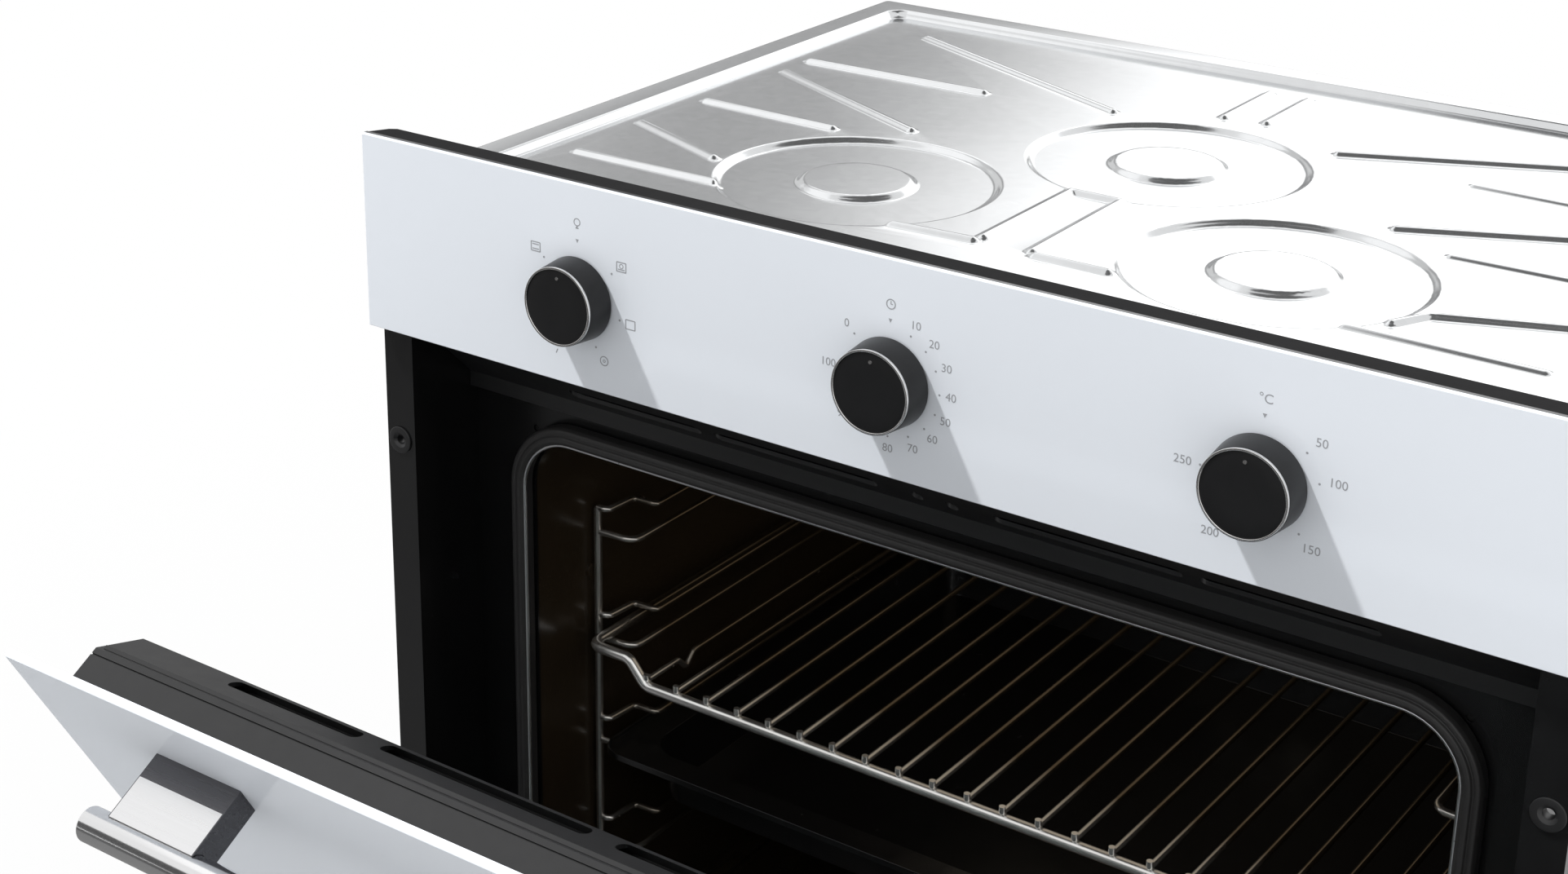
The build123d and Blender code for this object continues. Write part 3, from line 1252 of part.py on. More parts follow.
def make_wire_shelf():
    """The wire shelf: a frame that drops below its runners, with wires from front to back."""
    runner = rail_height(SHELF_LEVEL) + RACK_WIRE_R + SEAT_GAP + SHELF_FRAME_R
    grid = runner - SHELF_DROP
    half, out, low = SHELF_HALF, SHELF_STEP_OUT, SHELF_STEP_IN
    bar = [(half, runner), (out, runner), (low, grid), (-low, grid), (-out, runner), (-half, runner)]
    middle = (SHELF_FRONT + SHELF_REAR) / 2
    shelf = None
    for depth, meet in ((SHELF_FRONT, middle + 0.5), (SHELF_REAR, middle - 0.5)):
        half_loop = [spot(half, meet, runner)]
        half_loop += [spot(x, depth, height) for x, height in bar]
        half_loop += [spot(-half, meet, runner)]
        bent = wire(half_loop, SHELF_FRAME_R, SHELF_FRAME_BEND)
        shelf = bent if shelf is None else shelf + bent
    height = grid + SHELF_FRAME_R + SHELF_WIRE_R - 0.5
    start, end = SHELF_FRONT - 3.5, SHELF_REAR + 3.5
    grid_wires = []
    for i in range(SHELF_WIRES):
        x = (i - (SHELF_WIRES - 1) / 2) * SHELF_PITCH
        notch = [
            spot(x, start + SHELF_NOTCH, height),
            spot(x, start + SHELF_NOTCH + SHELF_NOTCH_DROP, height - SHELF_NOTCH_DROP),
            spot(x, start + SHELF_NOTCH + 2 * SHELF_NOTCH_DROP, height),
        ]
        outermost = i in (0, SHELF_WIRES - 1)
        route = [spot(x, start, height)] + notch * outermost + [spot(x, end, height)]
        grid_wires.append(kinked_wire(route, SHELF_WIRE_R))
    return shelf + grid_wires


def make_baking_tray():
    """The enamelled tray: a flat rim that runs on the rails, a raised lip and a deep pan."""
    foot = rail_height(TRAY_LEVEL) + RACK_WIRE_R + SEAT_GAP
    middle = y_at((TRAY_FRONT + TRAY_REAR) / 2)
    length = TRAY_REAR - TRAY_FRONT
    margin = 2 * (TRAY_HALF - TRAY_PAN_HALF)
    top = foot + SHEET

    def outline(width, depth, corner):
        return Pos(0, middle) * RectangleRounded(width, depth, corner)

    edge = outline(2 * TRAY_HALF, length, TRAY_CORNER)
    rim = extrude(Plane.XY.offset(foot) * edge, amount=TRAY_LIP)
    inside = outline(2 * (TRAY_HALF - SHEET), length - 2 * SHEET, TRAY_CORNER - SHEET)
    rim -= extrude(Plane.XY.offset(top) * inside, amount=TRAY_LIP)
    pan_width, pan_length = 2 * TRAY_PAN_HALF, length - margin
    draft = 2 * TRAY_DRAFT

    def pan(grow, floor, mouth_height):
        wide, length = pan_width + 2 * grow, pan_length + 2 * grow
        crown = outline(wide, length, TRAY_PAN_CORNER + grow)
        base = outline(wide - draft, length - draft, TRAY_FLOOR_CORNER + grow)
        return loft([Plane.XY.offset(floor) * base, Plane.XY.offset(mouth_height) * crown])

    tray = rim + pan(SHEET, top - TRAY_DEPTH, top)
    return tray - pan(0, top - TRAY_DEPTH + SHEET, top + 0.01)


# Seal and hinges


def make_cavity_seal():
    """The rubber seal round the mouth of the cavity."""
    ring = mouth(SEAL_MARGIN + SEAL_WIDTH) - mouth(SEAL_MARGIN)
    seal = along_depth(ring, (SEAL_FRONT, RECESS_DEPTH - SOFT_GAP))
    front = seal.faces().sort_by(Axis.Y)[0]
    return chamfer(front.edges(), SEAL_WIDTH * 0.28)


def make_hinge_receivers():
    """The two brackets behind the frame that hold the hinge arms."""
    low, high = HINGE_X - RECEIVER_WIDTH / 2, HINGE_X + RECEIVER_WIDTH / 2
    depth = (PLATE_BACK, PLATE_BACK + RECEIVER_DEPTH)
    wall = HINGE_CHANNEL_WALL
    top = HINGE_HEIGHT + HINGE_ARM_HEIGHT + 6
    bracket = block((low, high), depth, (THIN_SHEET + THIN_SHEET, top))
    room_height = (2 * THIN_SHEET + wall, top + 1)
    bracket -= block((low + wall, high - wall), (depth[0] - 1, depth[1] + 1), room_height)
    arm_foot = HINGE_HEIGHT - HINGE_ARM_HEIGHT / 2
    saddle = block((low, high), (depth[1] - 12, depth[1] - 6), (2 * THIN_SHEET, arm_foot))
    return both_sides(bracket + saddle)


def make_hinge_arms():
    """The two arms that the door turns on, hooked into the receivers."""
    arm_half = HINGE_ARM / 2
    low, high = HINGE_X - arm_half, HINGE_X + arm_half
    end = PLATE_BACK + RECEIVER_DEPTH - 4
    half_height = HINGE_ARM_HEIGHT / 2
    height = (HINGE_HEIGHT - half_height, HINGE_HEIGHT + half_height)
    arm = block((low, high), (HINGE_DEPTH, end), height)
    arm += rod_x(HINGE_DEPTH, HINGE_HEIGHT, HINGE_EYE_R, (low, high))
    arm -= rod_x(HINGE_DEPTH, HINGE_HEIGHT, HINGE_PIN_R + RUNNING_GAP, (low - 1, high + 1))
    return both_sides(arm)


def make_hinge_channels():
    """The two channels inside the door's columns, with the holes for the hinge pins."""
    low, high = HINGE_X - HINGE_CHANNEL_WIDTH / 2, HINGE_X + HINGE_CHANNEL_WIDTH / 2
    wall = HINGE_CHANNEL_WALL
    front = DOOR_GLASS + 4
    back = INNER_GLASS_FRONT - COLUMN_WALL - SEAT_GAP
    height = (HINGE_HEIGHT - 8, HINGE_CHANNEL_TOP)
    channel = block((low, high), (front, back), height)
    room_height = (height[0] - 1, height[1] + 1)
    channel -= block((low + wall, high - wall), (front + wall, back + 1), room_height)
    hole = (low - 1, high + 1)
    return both_sides(channel - rod_x(HINGE_DEPTH, HINGE_HEIGHT, HINGE_PIN_R + RUNNING_GAP, hole))


def make_hinge_pins():
    """The pins on the door's axis, one in each channel."""
    half = HINGE_CHANNEL_WIDTH / 2
    return both_sides(rod_x(HINGE_DEPTH, HINGE_HEIGHT, HINGE_PIN_R, (HINGE_X - half, HINGE_X + half)))


def make_hinge_springs():
    """The counterbalance springs in the channels, as plain rods on their cross pins."""
    half = HINGE_CHANNEL_WIDTH / 2 - HINGE_CHANNEL_WALL
    depth = (DOOR_GLASS + INNER_GLASS_FRONT) / 2
    foot, top = HINGE_HEIGHT + 40, HINGE_CHANNEL_TOP - 12
    plane = Plane.XY.offset(foot) * Pos(HINGE_X, y_at(depth))
    spring = extrude(plane * Circle(HINGE_SPRING_R), amount=top - foot)
    pin_x = (HINGE_X - half, HINGE_X + half)
    for height in (foot, top):
        spring += block(pin_x, (depth - 3, depth + 3), (height - 3, height + 3))
    return both_sides(spring)


# Door, drawn closed


def make_door_glass_outer():
    """The white outer glass of the door."""
    glass = block((-FRONT_HALF, FRONT_HALF), (0, DOOR_GLASS), (DOOR_FOOT, DOOR_TOP))
    glass = chamfer(glass.edges().filter_by(Axis.Y, reverse=True).group_by(Axis.Y)[0], 0.5)
    for x in (-HANDLE_ARM_X, HANDLE_ARM_X):
        glass -= rod(x, HANDLE_HEIGHT, HANDLE_SCREW_R + 0.5, (-1, DOOR_GLASS + 1))
    return glass


def make_door_top_rail():
    """The moulded rail along the door's top, with its sloping vents."""
    wall = TOP_RAIL_WALL
    outer = [
        (DOOR_GLASS, RAIL_FOOT),
        (DOOR_GLASS, RAIL_TOP),
        (RAIL_EDGE, RAIL_TOP),
        (DOOR_BACK, RAIL_SLOPE_FOOT),
        (DOOR_BACK, INNER_GLASS_TOP + SEAT_GAP),
        (INNER_GLASS_FRONT - 0.2, INNER_GLASS_TOP + SEAT_GAP),
        (INNER_GLASS_FRONT - 0.2, RAIL_FOOT),
    ]
    slope = RAIL_TOP + RAIL_EDGE - wall * 2**0.5
    seat = INNER_GLASS_TOP + SEAT_GAP + wall
    step = INNER_GLASS_FRONT - 0.2 - wall
    hollow = [
        (DOOR_GLASS + wall, RAIL_FOOT - 1),
        (DOOR_GLASS + wall, RAIL_TOP - wall),
        (slope - RAIL_TOP + wall, RAIL_TOP - wall),
        (DOOR_BACK - wall, slope - DOOR_BACK + wall),
        (DOOR_BACK - wall, seat),
        (step, seat),
        (step, RAIL_FOOT - 1),
    ]
    end = DOOR_HALF - TOP_RAIL_END
    rail = along_x(outer, (-DOOR_HALF, DOOR_HALF)) - along_x(hollow, (-end, end))
    grip = SEAT_GAP
    for low in (MIDDLE_GLASS_DEPTH - grip - 2, MIDDLE_GLASS_DEPTH + MIDDLE_GLASS + grip):
        rail += block((-end, end), (low, low + 2), (RAIL_FOOT, RAIL_TOP - wall / 2))
    groove = DOOR_GLASS + TOP_RAIL_GROOVE
    rail -= block((-DOOR_HALF, DOOR_HALF), (groove, groove + 0.8), (RAIL_TOP - 0.8, RAIL_TOP + 1))
    slot_depth = DOOR_BACK - wall - DOOR_SLOT_WIDTH / 2 + 0.5
    plane = Plane.XY.offset(seat + 0.5)
    for side in (-1, 1):
        for low, high in DOOR_SLOT_SPANS:
            centre = DOOR_SLOT_SHIFT + side * (low + high) / 2
            cut = Pos(centre, y_at(slot_depth)) * SlotOverall(high - low, DOOR_SLOT_WIDTH)
            rail -= extrude(plane * cut, amount=TOP_RAIL_HEIGHT)
    for x in (-HANDLE_ARM_X, HANDLE_ARM_X):
        rail -= rod(x, HANDLE_HEIGHT, HANDLE_SCREW_R + 0.2, (DOOR_GLASS - 1, DOOR_GLASS + wall + 1))
    return rail


def make_door_columns():
    """The two upright mouldings of the door, rebated for the inner glass."""
    rebate = INNER_GLASS_FRONT - 0.1
    edge = INNER_GLASS_HALF + SEAT_GAP
    section = [
        (COLUMN_INSIDE, DOOR_GLASS),
        (DOOR_HALF, DOOR_GLASS),
        (DOOR_HALF, DOOR_BACK),
        (edge, DOOR_BACK),
        (edge, rebate),
        (COLUMN_INSIDE, rebate),
    ]
    column = along_height(section, (COLUMN_FOOT, RAIL_FOOT))
    room_x = (COLUMN_INSIDE + COLUMN_WALL, DOOR_HALF - COLUMN_WALL)
    room = (COLUMN_FOOT - 1, RAIL_FOOT + 1)
    column -= block(room_x, (DOOR_GLASS - 1, INNER_GLASS_FRONT - COLUMN_WALL), room)
    return both_sides(column)


def make_door_bottom_rail():
    """The rail along the door's foot that carries the middle and inner glasses."""
    wall = COLUMN_WALL
    top = INNER_GLASS_FOOT - SEAT_GAP
    groove_floor = top - GLASS_GRIP
    outer = [
        (DOOR_GLASS, BOTTOM_RAIL_FOOT),
        (DOOR_BACK, BOTTOM_RAIL_FOOT),
        (DOOR_BACK, top),
        (DOOR_GLASS, top),
    ]
    hollow = [
        (DOOR_GLASS - 1, BOTTOM_RAIL_FOOT + wall),
        (DOOR_BACK - wall, BOTTOM_RAIL_FOOT + wall),
        (DOOR_BACK - wall, groove_floor - wall),
        (DOOR_GLASS - 1, groove_floor - wall),
    ]
    edge = COLUMN_INSIDE
    rail = along_x(outer, (-edge, edge)) - along_x(hollow, (-edge - 1, edge + 1))
    groove = (MIDDLE_GLASS_DEPTH - SEAT_GAP, MIDDLE_GLASS_DEPTH + MIDDLE_GLASS + SEAT_GAP)
    rail -= block((-edge - 1, edge + 1), groove, (groove_floor, top + 1))
    for i in range(4):
        vent = Pos(-150 + 100 * i, y_at(20)) * SlotOverall(70, 8)
        rail -= extrude(Plane.XY.offset(BOTTOM_RAIL_FOOT - 1) * vent, amount=wall + 2)
    return rail


def make_door_glass_middle():
    """The thinner glass between the outer and inner ones."""
    half = COLUMN_INSIDE - SEAT_GAP
    foot = INNER_GLASS_FOOT - GLASS_GRIP
    depth = (MIDDLE_GLASS_DEPTH, MIDDLE_GLASS_DEPTH + MIDDLE_GLASS)
    return block((-half, half), depth, (foot, RAIL_FOOT + 12))


def make_door_glass_inner():
    """The clear inner glass that closes on the seal."""
    half = INNER_GLASS_HALF
    return block((-half, half), (INNER_GLASS_FRONT, DOOR_BACK), (INNER_GLASS_FOOT, INNER_GLASS_TOP))


def make_handle_bar():
    """The round bar of the handle."""
    half = HANDLE_LENGTH / 2
    bar = rod_x(-HANDLE_REACH, HANDLE_HEIGHT, HANDLE_BAR_R, (-half, half))
    return chamfer(bar.edges().filter_by(GeomType.CIRCLE), 0.6)


def make_handle_arms():
    """The two block arms that carry the bar, hollowed to fit it."""
    low, high = HANDLE_ARM_X - HANDLE_ARM_WIDTH / 2, HANDLE_ARM_X + HANDLE_ARM_WIDTH / 2
    half = HANDLE_ARM_THICK / 2
    arm = block((low, high), (4 - HANDLE_REACH, 0), (HANDLE_HEIGHT - half, HANDLE_HEIGHT + half))
    arm -= rod_x(-HANDLE_REACH, HANDLE_HEIGHT, HANDLE_BAR_R + RUNNING_GAP, (low - 1, high + 1))
    hole = (-HANDLE_SCREW_REACH - 1, 1)
    arm -= rod(HANDLE_ARM_X, HANDLE_HEIGHT, HANDLE_SCREW_R + RUNNING_GAP, hole)
    return both_sides(arm)


def make_handle_screws():
    """The screws that hold the handle's arms through the glass and the top rail."""
    seat = DOOR_GLASS + TOP_RAIL_WALL
    profile = [
        (0, -HANDLE_SCREW_REACH),
        (HANDLE_SCREW_R, -HANDLE_SCREW_REACH),
        (HANDLE_SCREW_R, seat),
        (HANDLE_SCREW_HEAD_R, seat),
        (HANDLE_SCREW_HEAD_R * 0.85, seat + HANDLE_SCREW_HEAD),
        (0, seat + HANDLE_SCREW_HEAD),
    ]
    return both_sides(turned(profile, HANDLE_ARM_X, HANDLE_HEIGHT))


# All parts

parts = {
    "front_frame": make_front_frame(),
    "flange_bushes": make_flange_bushes(),
    "cavity": make_cavity(),
    "insulation": make_insulation(),
    "side_panels": make_side_panels(),
    "base_plate": make_base_plate(),
    "rear_panel": make_rear_panel(),
    "back_cover": make_back_cover(),
    "cover_screws": make_cover_screws(),
    "top_cover": make_top_cover(),
    "intermediate_plate": make_intermediate_plate(),
    "control_bracket": make_control_bracket(),
    "control_panel_glass": make_panel_glass(),
    "panel_carrier": make_panel_carrier(),
    "function_switch": make_function_switch(),
    "timer_unit": make_timer_unit(),
    "thermostat_unit": make_thermostat_unit(),
    "thermostat_probe": make_thermostat_probe(),
    "air_outlet_strip": make_air_outlet_strip(),
    "air_duct": make_air_duct(),
    "cooling_fan_housing": make_cooling_fan_housing(),
    "cooling_fan_impeller": make_cooling_fan_impeller(),
    "cooling_fan_motor": make_cooling_fan_motor(),
    "fan_cover": make_fan_cover(),
    "convection_impeller": make_convection_impeller(),
    "convection_motor": make_convection_motor(),
    "top_element": make_top_element(),
    "bottom_element": make_bottom_element(),
    "lamp_socket": make_lamp_socket(),
    "lamp_bulb": make_lamp_bulb(),
    "lamp_glass": make_lamp_glass(),
    "terminal_block": make_terminal_block(),
    "wire_shelf": make_wire_shelf(),
    "baking_tray": make_baking_tray(),
    "cavity_seal": make_cavity_seal(),
    "hinge_receivers": make_hinge_receivers(),
    "hinge_arms": make_hinge_arms(),
}
right_rack = make_side_rack()
parts["rack_right"] = right_rack
parts["rack_left"] = mirror(right_rack, Plane.YZ)
for name, x in zip(("function", "timer", "thermostat"), KNOB_XS):
    parts[name + "_knob"] = make_knob(x)
    parts[name + "_knob_trim"] = make_knob_trim(x)
    parts[name + "_shaft"] = make_shaft(x)

door_parts = {
    "door_glass_outer": make_door_glass_outer(),
    "door_top_rail": make_door_top_rail(),
    "door_columns": make_door_columns(),
    "door_bottom_rail": make_door_bottom_rail(),
    "door_glass_middle": make_door_glass_middle(),
    "door_glass_inner": make_door_glass_inner(),
    "hinge_channels": make_hinge_channels(),
    "hinge_pins": make_hinge_pins(),
    "hinge_springs": make_hinge_springs(),
    "handle_bar": make_handle_bar(),
    "handle_arms": make_handle_arms(),
    "handle_screws": make_handle_screws(),
}
hinge_line = Axis((0, y_at(HINGE_DEPTH), HINGE_HEIGHT), (1, 0, 0))
for name, shape in door_parts.items():
    parts[name] = shape.rotate(hinge_line, DOOR_OPEN)

os.makedirs("parts", exist_ok=True)
for name, shape in parts.items():
    solids = shape if isinstance(shape, list) else [shape]
    whole = Compound(children=[s for piece in solids for s in piece.solids()])
    export_step(whole, f"parts/{name}.step")
    print(name, len(whole.solids()))
print("front height", PANEL_TOP, "body depth", round(BODY_DEPTH, 2), "front width", 2 * FRONT_HALF)
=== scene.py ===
# %% [markdown]
# A built-in oven is mostly sheet metal: a galvanised body, an enamelled frame and cavity, and a
# white glass front with three knobs. The CAD model already has each piece in its place, so this
# lesson starts by loading it as a fixed frame. Each next step then takes one piece or one finish
# and asks what it is on a real oven, how Blender could make it, and why one way was picked.

# %% Load the frame
import json
from contextlib import contextmanager
from math import atan2, cos, hypot, pi, radians, sin, tan

import bmesh
import bpy
from mathutils import Matrix, Vector
from mathutils.geometry import delaunay_2d_cdt


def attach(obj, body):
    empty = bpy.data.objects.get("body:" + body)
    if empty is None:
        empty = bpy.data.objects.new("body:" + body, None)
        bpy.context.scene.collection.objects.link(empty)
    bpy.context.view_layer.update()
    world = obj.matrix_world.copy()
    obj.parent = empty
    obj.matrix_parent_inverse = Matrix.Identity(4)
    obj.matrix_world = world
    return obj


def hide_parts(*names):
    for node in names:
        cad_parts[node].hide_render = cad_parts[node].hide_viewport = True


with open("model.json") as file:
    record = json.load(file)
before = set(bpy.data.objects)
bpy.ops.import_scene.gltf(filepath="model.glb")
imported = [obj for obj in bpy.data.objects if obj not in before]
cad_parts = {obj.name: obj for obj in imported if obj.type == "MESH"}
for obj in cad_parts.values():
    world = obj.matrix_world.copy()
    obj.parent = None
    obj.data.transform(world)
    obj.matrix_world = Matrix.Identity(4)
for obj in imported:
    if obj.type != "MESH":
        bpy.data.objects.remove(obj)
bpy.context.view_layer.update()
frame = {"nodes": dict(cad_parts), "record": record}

# %% [markdown]
# Every size of the oven is known from its front, which is 595 mm wide. Depths are counted back
# from the control panel's face, as an oven's fitter would measure them. One small helper turns
# such millimetres into the metres of the scene. A door piece that is made here is made closed and
# then swung open about the hinge line with one matrix.

# %% Places in millimetres
FRONT_Y = -273.5
DOOR_OPEN = radians(30)
HINGE_DEPTH, HINGE_HEIGHT = 27.5, 20.0
CAVITY_HALF, CAVITY_FLOOR, CAVITY_TOP = 240.0, 82.0, 436.5
COVER_TOP, COVER_BASE = 577.0, 573.0
KNOBS, KNOB_HEIGHT = {"function": -166.1, "timer": 0.0, "thermostat": 166.1}, 540.7
RAIL_X, POST_X = 213.8, 236.4
LEVELS, LEVEL_PITCH, TOP_RAIL = 5, 61.7, 364.4
ACROSS, INWARD, UPWARD = Vector((1, 0, 0)), Vector((0, 1, 0)), Vector((0, 0, 1))


def place(x, depth, height):
    """A point from its X, its depth and its height."""
    return Vector((x, FRONT_Y + depth, height)) / 1000


hinge_point = place(0, HINGE_DEPTH, HINGE_HEIGHT)
swing_open = (
    Matrix.Translation(hinge_point)
    @ Matrix.Rotation(DOOR_OPEN, 4, "X")
    @ Matrix.Translation(-hinge_point)
)
door_normal = swing_open.to_3x3() @ INWARD
print("door opens about", [round(v, 4) for v in hinge_point])

# %% [markdown]
# The camera is the one that took the photograph: it was solved from the corners of the panel and
# of the body. It stands to the right, above the oven's top, and looks down and to the left. The
# picture is a crop of a larger frame, and the lens shift stands for that crop.

# %% The camera
scene = bpy.context.scene
YAW, PITCH, ROLL = radians(36.72777), radians(19.76971), radians(0.10282)
CAMERA_PLACE = (0.51518, -1.11584, 0.94513)
PICTURE_WIDTH, PICTURE_HEIGHT = 1923, 1072
FOCAL_PIXELS, CENTRE_X, CENTRE_Y = 3120.9955, 822.96, 326.39
SENSOR_WIDTH = 36.0
forward = Vector((-sin(YAW) * cos(PITCH), cos(YAW) * cos(PITCH), -sin(PITCH)))
level = Vector((cos(YAW), sin(YAW), 0))
upward = level.cross(forward)
right = cos(ROLL) * level + sin(ROLL) * upward
up = -sin(ROLL) * level + cos(ROLL) * upward
optics = bpy.data.cameras.new("camera")
camera = bpy.data.objects.new("camera", optics)
scene.collection.objects.link(camera)
turn = Matrix((right, up, -forward)).transposed().to_4x4()
camera.matrix_world = Matrix.Translation(CAMERA_PLACE) @ turn
optics.sensor_width = SENSOR_WIDTH
optics.lens = FOCAL_PIXELS / PICTURE_WIDTH * SENSOR_WIDTH
optics.shift_x = (PICTURE_WIDTH / 2 - CENTRE_X) / PICTURE_WIDTH
optics.shift_y = (CENTRE_Y - PICTURE_HEIGHT / 2) / PICTURE_WIDTH
optics.clip_start, optics.clip_end = 0.05, 50
scene.camera = camera
scene.view_settings.view_transform = "Standard"
print("lens", round(optics.lens, 2), "shift", round(optics.shift_x, 4), round(optics.shift_y, 4))

# %% [markdown]
# A finish in Blender is a tree of nodes. Written out by hand it needs a line for each node and a
# line for each link, which hides the idea behind it. Here a socket is wrapped in a small class
# with the arithmetic operators, so a pattern reads as the sum that it is. One method adds any
# other node. Most finishes of an oven are nearly even, so one function makes those: soft noise
# moves them a little between two tones and between two degrees of gloss.

# %% Sockets that can be added and multiplied
class Value:
    """A socket of a finish's nodes, which Python's operators can work on."""

    def __init__(self, finish, socket):
        self.finish, self.socket = finish, socket

    def __add__(self, other):
        return self.finish.math("ADD", self, other)

    def __sub__(self, other):
        return self.finish.math("SUBTRACT", self, other)

    def __mul__(self, other):
        return self.finish.math("MULTIPLY", self, other)

    def __gt__(self, other):
        return self.finish.math("GREATER_THAN", self, other)


class Finish:
    """A material made of one Principled shader and the nodes that feed it."""

    made = {}

    def __init__(self, name):
        self.material = bpy.data.materials.new("finish_" + name)
        self.material.use_nodes = True
        self.tree = self.material.node_tree
        self.shader = self.tree.nodes["Principled BSDF"]
        self.where = self.node("ShaderNodeTexCoord", {}, "Object")
        Finish.made[name] = self.material

    def feed(self, socket, value):
        """Links a value to a socket, or sets the socket's own number or colour."""
        if isinstance(value, Value):
            self.tree.links.new(value.socket, socket)
        elif socket.type == "RGBA":
            socket.default_value = (*value, 1.0)
        else:
            socket.default_value = value

    def node(self, kind, inputs, output=0, **settings):
        """Adds one node: its settings first, then the values or links of its sockets."""
        node = self.tree.nodes.new(kind)
        for key, setting in settings.items():
            setattr(node, key, setting)
        for key, value in inputs.items():
            self.feed(node.inputs[key], value)
        return Value(self, node.outputs[output])

    def math(self, operation, *values):
        """One step of arithmetic on one or two values."""
        return self.node("ShaderNodeMath", dict(enumerate(values)), operation=operation)

    def noise(self, scale, detail=3.0, rough=0.5, stretch=None):
        """Soft noise on the object's own coordinates, with lumps about 1 / scale metres wide."""
        where = self.where
        if stretch is not None:
            where = self.node("ShaderNodeMapping", {"Vector": self.where, "Scale": stretch})
        inputs = {"Vector": where, "Scale": scale, "Detail": detail, "Roughness": rough}
        return self.node("ShaderNodeTexNoise", inputs)

    def cells(self, scale, output):
        """Cells on the object's own coordinates."""
        return self.node("ShaderNodeTexVoronoi", {"Vector": self.where, "Scale": scale}, output)

    def between(self, value, low, high):
        """Maps a value from a low to a high end onto 0 to 1, held at the ends."""
        return self.node("ShaderNodeMapRange", {"Value": value, "From Min": low, "From Max": high})

    def blend(self, factor, first, second):
        """Mixes two colours."""
        inputs = {0: factor, 6: first, 7: second}
        return self.node("ShaderNodeMix", inputs, 2, data_type="RGBA", clamp_factor=True)

    def along(self, direction):
        """How far a point lies along a direction, in metres."""
        inputs = {0: self.where, 1: direction}
        return self.node("ShaderNodeVectorMath", inputs, "Value", operation="DOT_PRODUCT")

    def bump(self, height, depth, strength):
        """A bump of a real depth in metres."""
        inputs = {"Height": height, "Distance": depth, "Strength": strength}
        self.set(Normal=self.node("ShaderNodeBump", inputs))

    def grain(self, scale, detail, depth, strength):
        """A bump from soft noise."""
        self.bump(self.noise(scale, detail), depth, strength)

    def set(self, **sockets):
        """Feeds the Principled shader's sockets, with _ standing for a space."""
        for key, value in sockets.items():
            self.feed(self.shader.inputs[key.replace("_", " ")], value)


def mottled(name, first, second, clouds, smears, least, rise, **sockets):
    """A finish with two tones that change in clouds, and a roughness that changes in smears.

    Clouds and smears are what noise takes. Without smears the roughness follows the clouds. Least
    is the lowest roughness and rise is how much it can grow.
    """
    finish = Finish(name)
    cloud = finish.noise(*clouds)
    smear = finish.noise(*smears) if smears else cloud
    finish.set(Base_Color=finish.blend(cloud, first, second), Roughness=smear * rise + least, **sockets)
    return finish


print("finish classes ready")

# %% [markdown]
# The panel and the door are clear glass painted white on the back. The eye sees a cool white under
# a sharp gloss. One shader with a pale base and a smooth surface is enough, because nothing is
# seen through it. A slight unevenness keeps long reflections from looking like a computer's. The
# panel's own back lies against black plastic, so the white ends there.

# %% White glass
PANEL_FOOT, PANEL_BACK = (0.495, 0.496), (-0.2719, -0.2717)
white_glass = Finish("white_glass")
smear = white_glass.noise(9.0, 4.0)
on_panel = white_glass.between(white_glass.along(UPWARD), *PANEL_FOOT)
on_back = white_glass.between(white_glass.along(INWARD), *PANEL_BACK) * on_panel
paint = white_glass.blend(smear, (0.745, 0.78, 0.83), (0.76, 0.795, 0.845))
white_glass.set(
    Base_Color=white_glass.blend(on_back, paint, (0.02, 0.02, 0.021)),
    Roughness=white_glass.between(smear, -0.4, 1.4) * 0.1 + 0.03,
    IOR=1.5,
)
white_glass.grain(6.0, 1.0, 0.00004, 0.4)
print("white glass", white_glass.material.name)

# %% [markdown]
# Enamel is glass melted onto steel. It is glossy, but its surface flows a little as it melts and
# keeps a fine orange peel. On the frame it is a deep black. In the cavity it has a brown cast and
# fine pale specks, which come from the frit.

# %% Black and dark enamel
black_enamel = mottled(
    "black_enamel", (0.0045, 0.0045, 0.0048), (0.007, 0.007, 0.0072), (30.0,), (60.0,), 0.20, 0.10, IOR=1.5
)
black_enamel.grain(420.0, 2.0, 0.00006, 0.5)

dark_enamel = Finish("dark_enamel")
speck = dark_enamel.between(dark_enamel.cells(700.0, "Distance"), 0.16, 0.08)
cloud = dark_enamel.noise(14.0, 4.0)
tone = dark_enamel.blend(cloud, (0.022, 0.0155, 0.009), (0.042, 0.029, 0.0165))
dark_enamel.set(
    Base_Color=dark_enamel.blend(speck * 0.20, tone, (0.16, 0.15, 0.14)),
    Roughness=cloud * 0.12 + 0.16,
    IOR=1.55,
)
dark_enamel.grain(260.0, 2.0, 0.00008, 0.5)
print("enamels", black_enamel.material.name, dark_enamel.material.name)

# %% [markdown]
# The body's sheets are steel with a skin of zinc. The zinc freezes in flat crystals, the spangle,
# that catch the light a little differently from one to the next. Cell noise gives the crystals,
# and they only vary the brightness and the roughness slightly, because modern sheet is fine.

# %% Galvanised sheet
galvanised = Finish("galvanised")
crystal = galvanised.node("ShaderNodeSeparateColor", {"Color": galvanised.cells(220.0, "Color")})
haze = galvanised.noise(8.0)
galvanised.set(
    Metallic=0.96,
    Base_Color=galvanised.blend(crystal * 0.4 + haze * 0.6, (0.66, 0.67, 0.68), (0.71, 0.72, 0.73)),
    Roughness=crystal * 0.01 + haze * 0.05 + 0.12,
)
galvanised.grain(3.2, 1.0, 0.0004, 0.25)
print("galvanised", galvanised.material.name)

# %% [markdown]
# Three plastics are seen: the carrier behind the panel, which is matt, the door's mouldings with a
# fine grain, and the knobs. They differ mostly in gloss, so each gets its own roughness and a grain
# of its own size. A pale plastic is for the switches inside, and the seal is a dusty dark rubber.

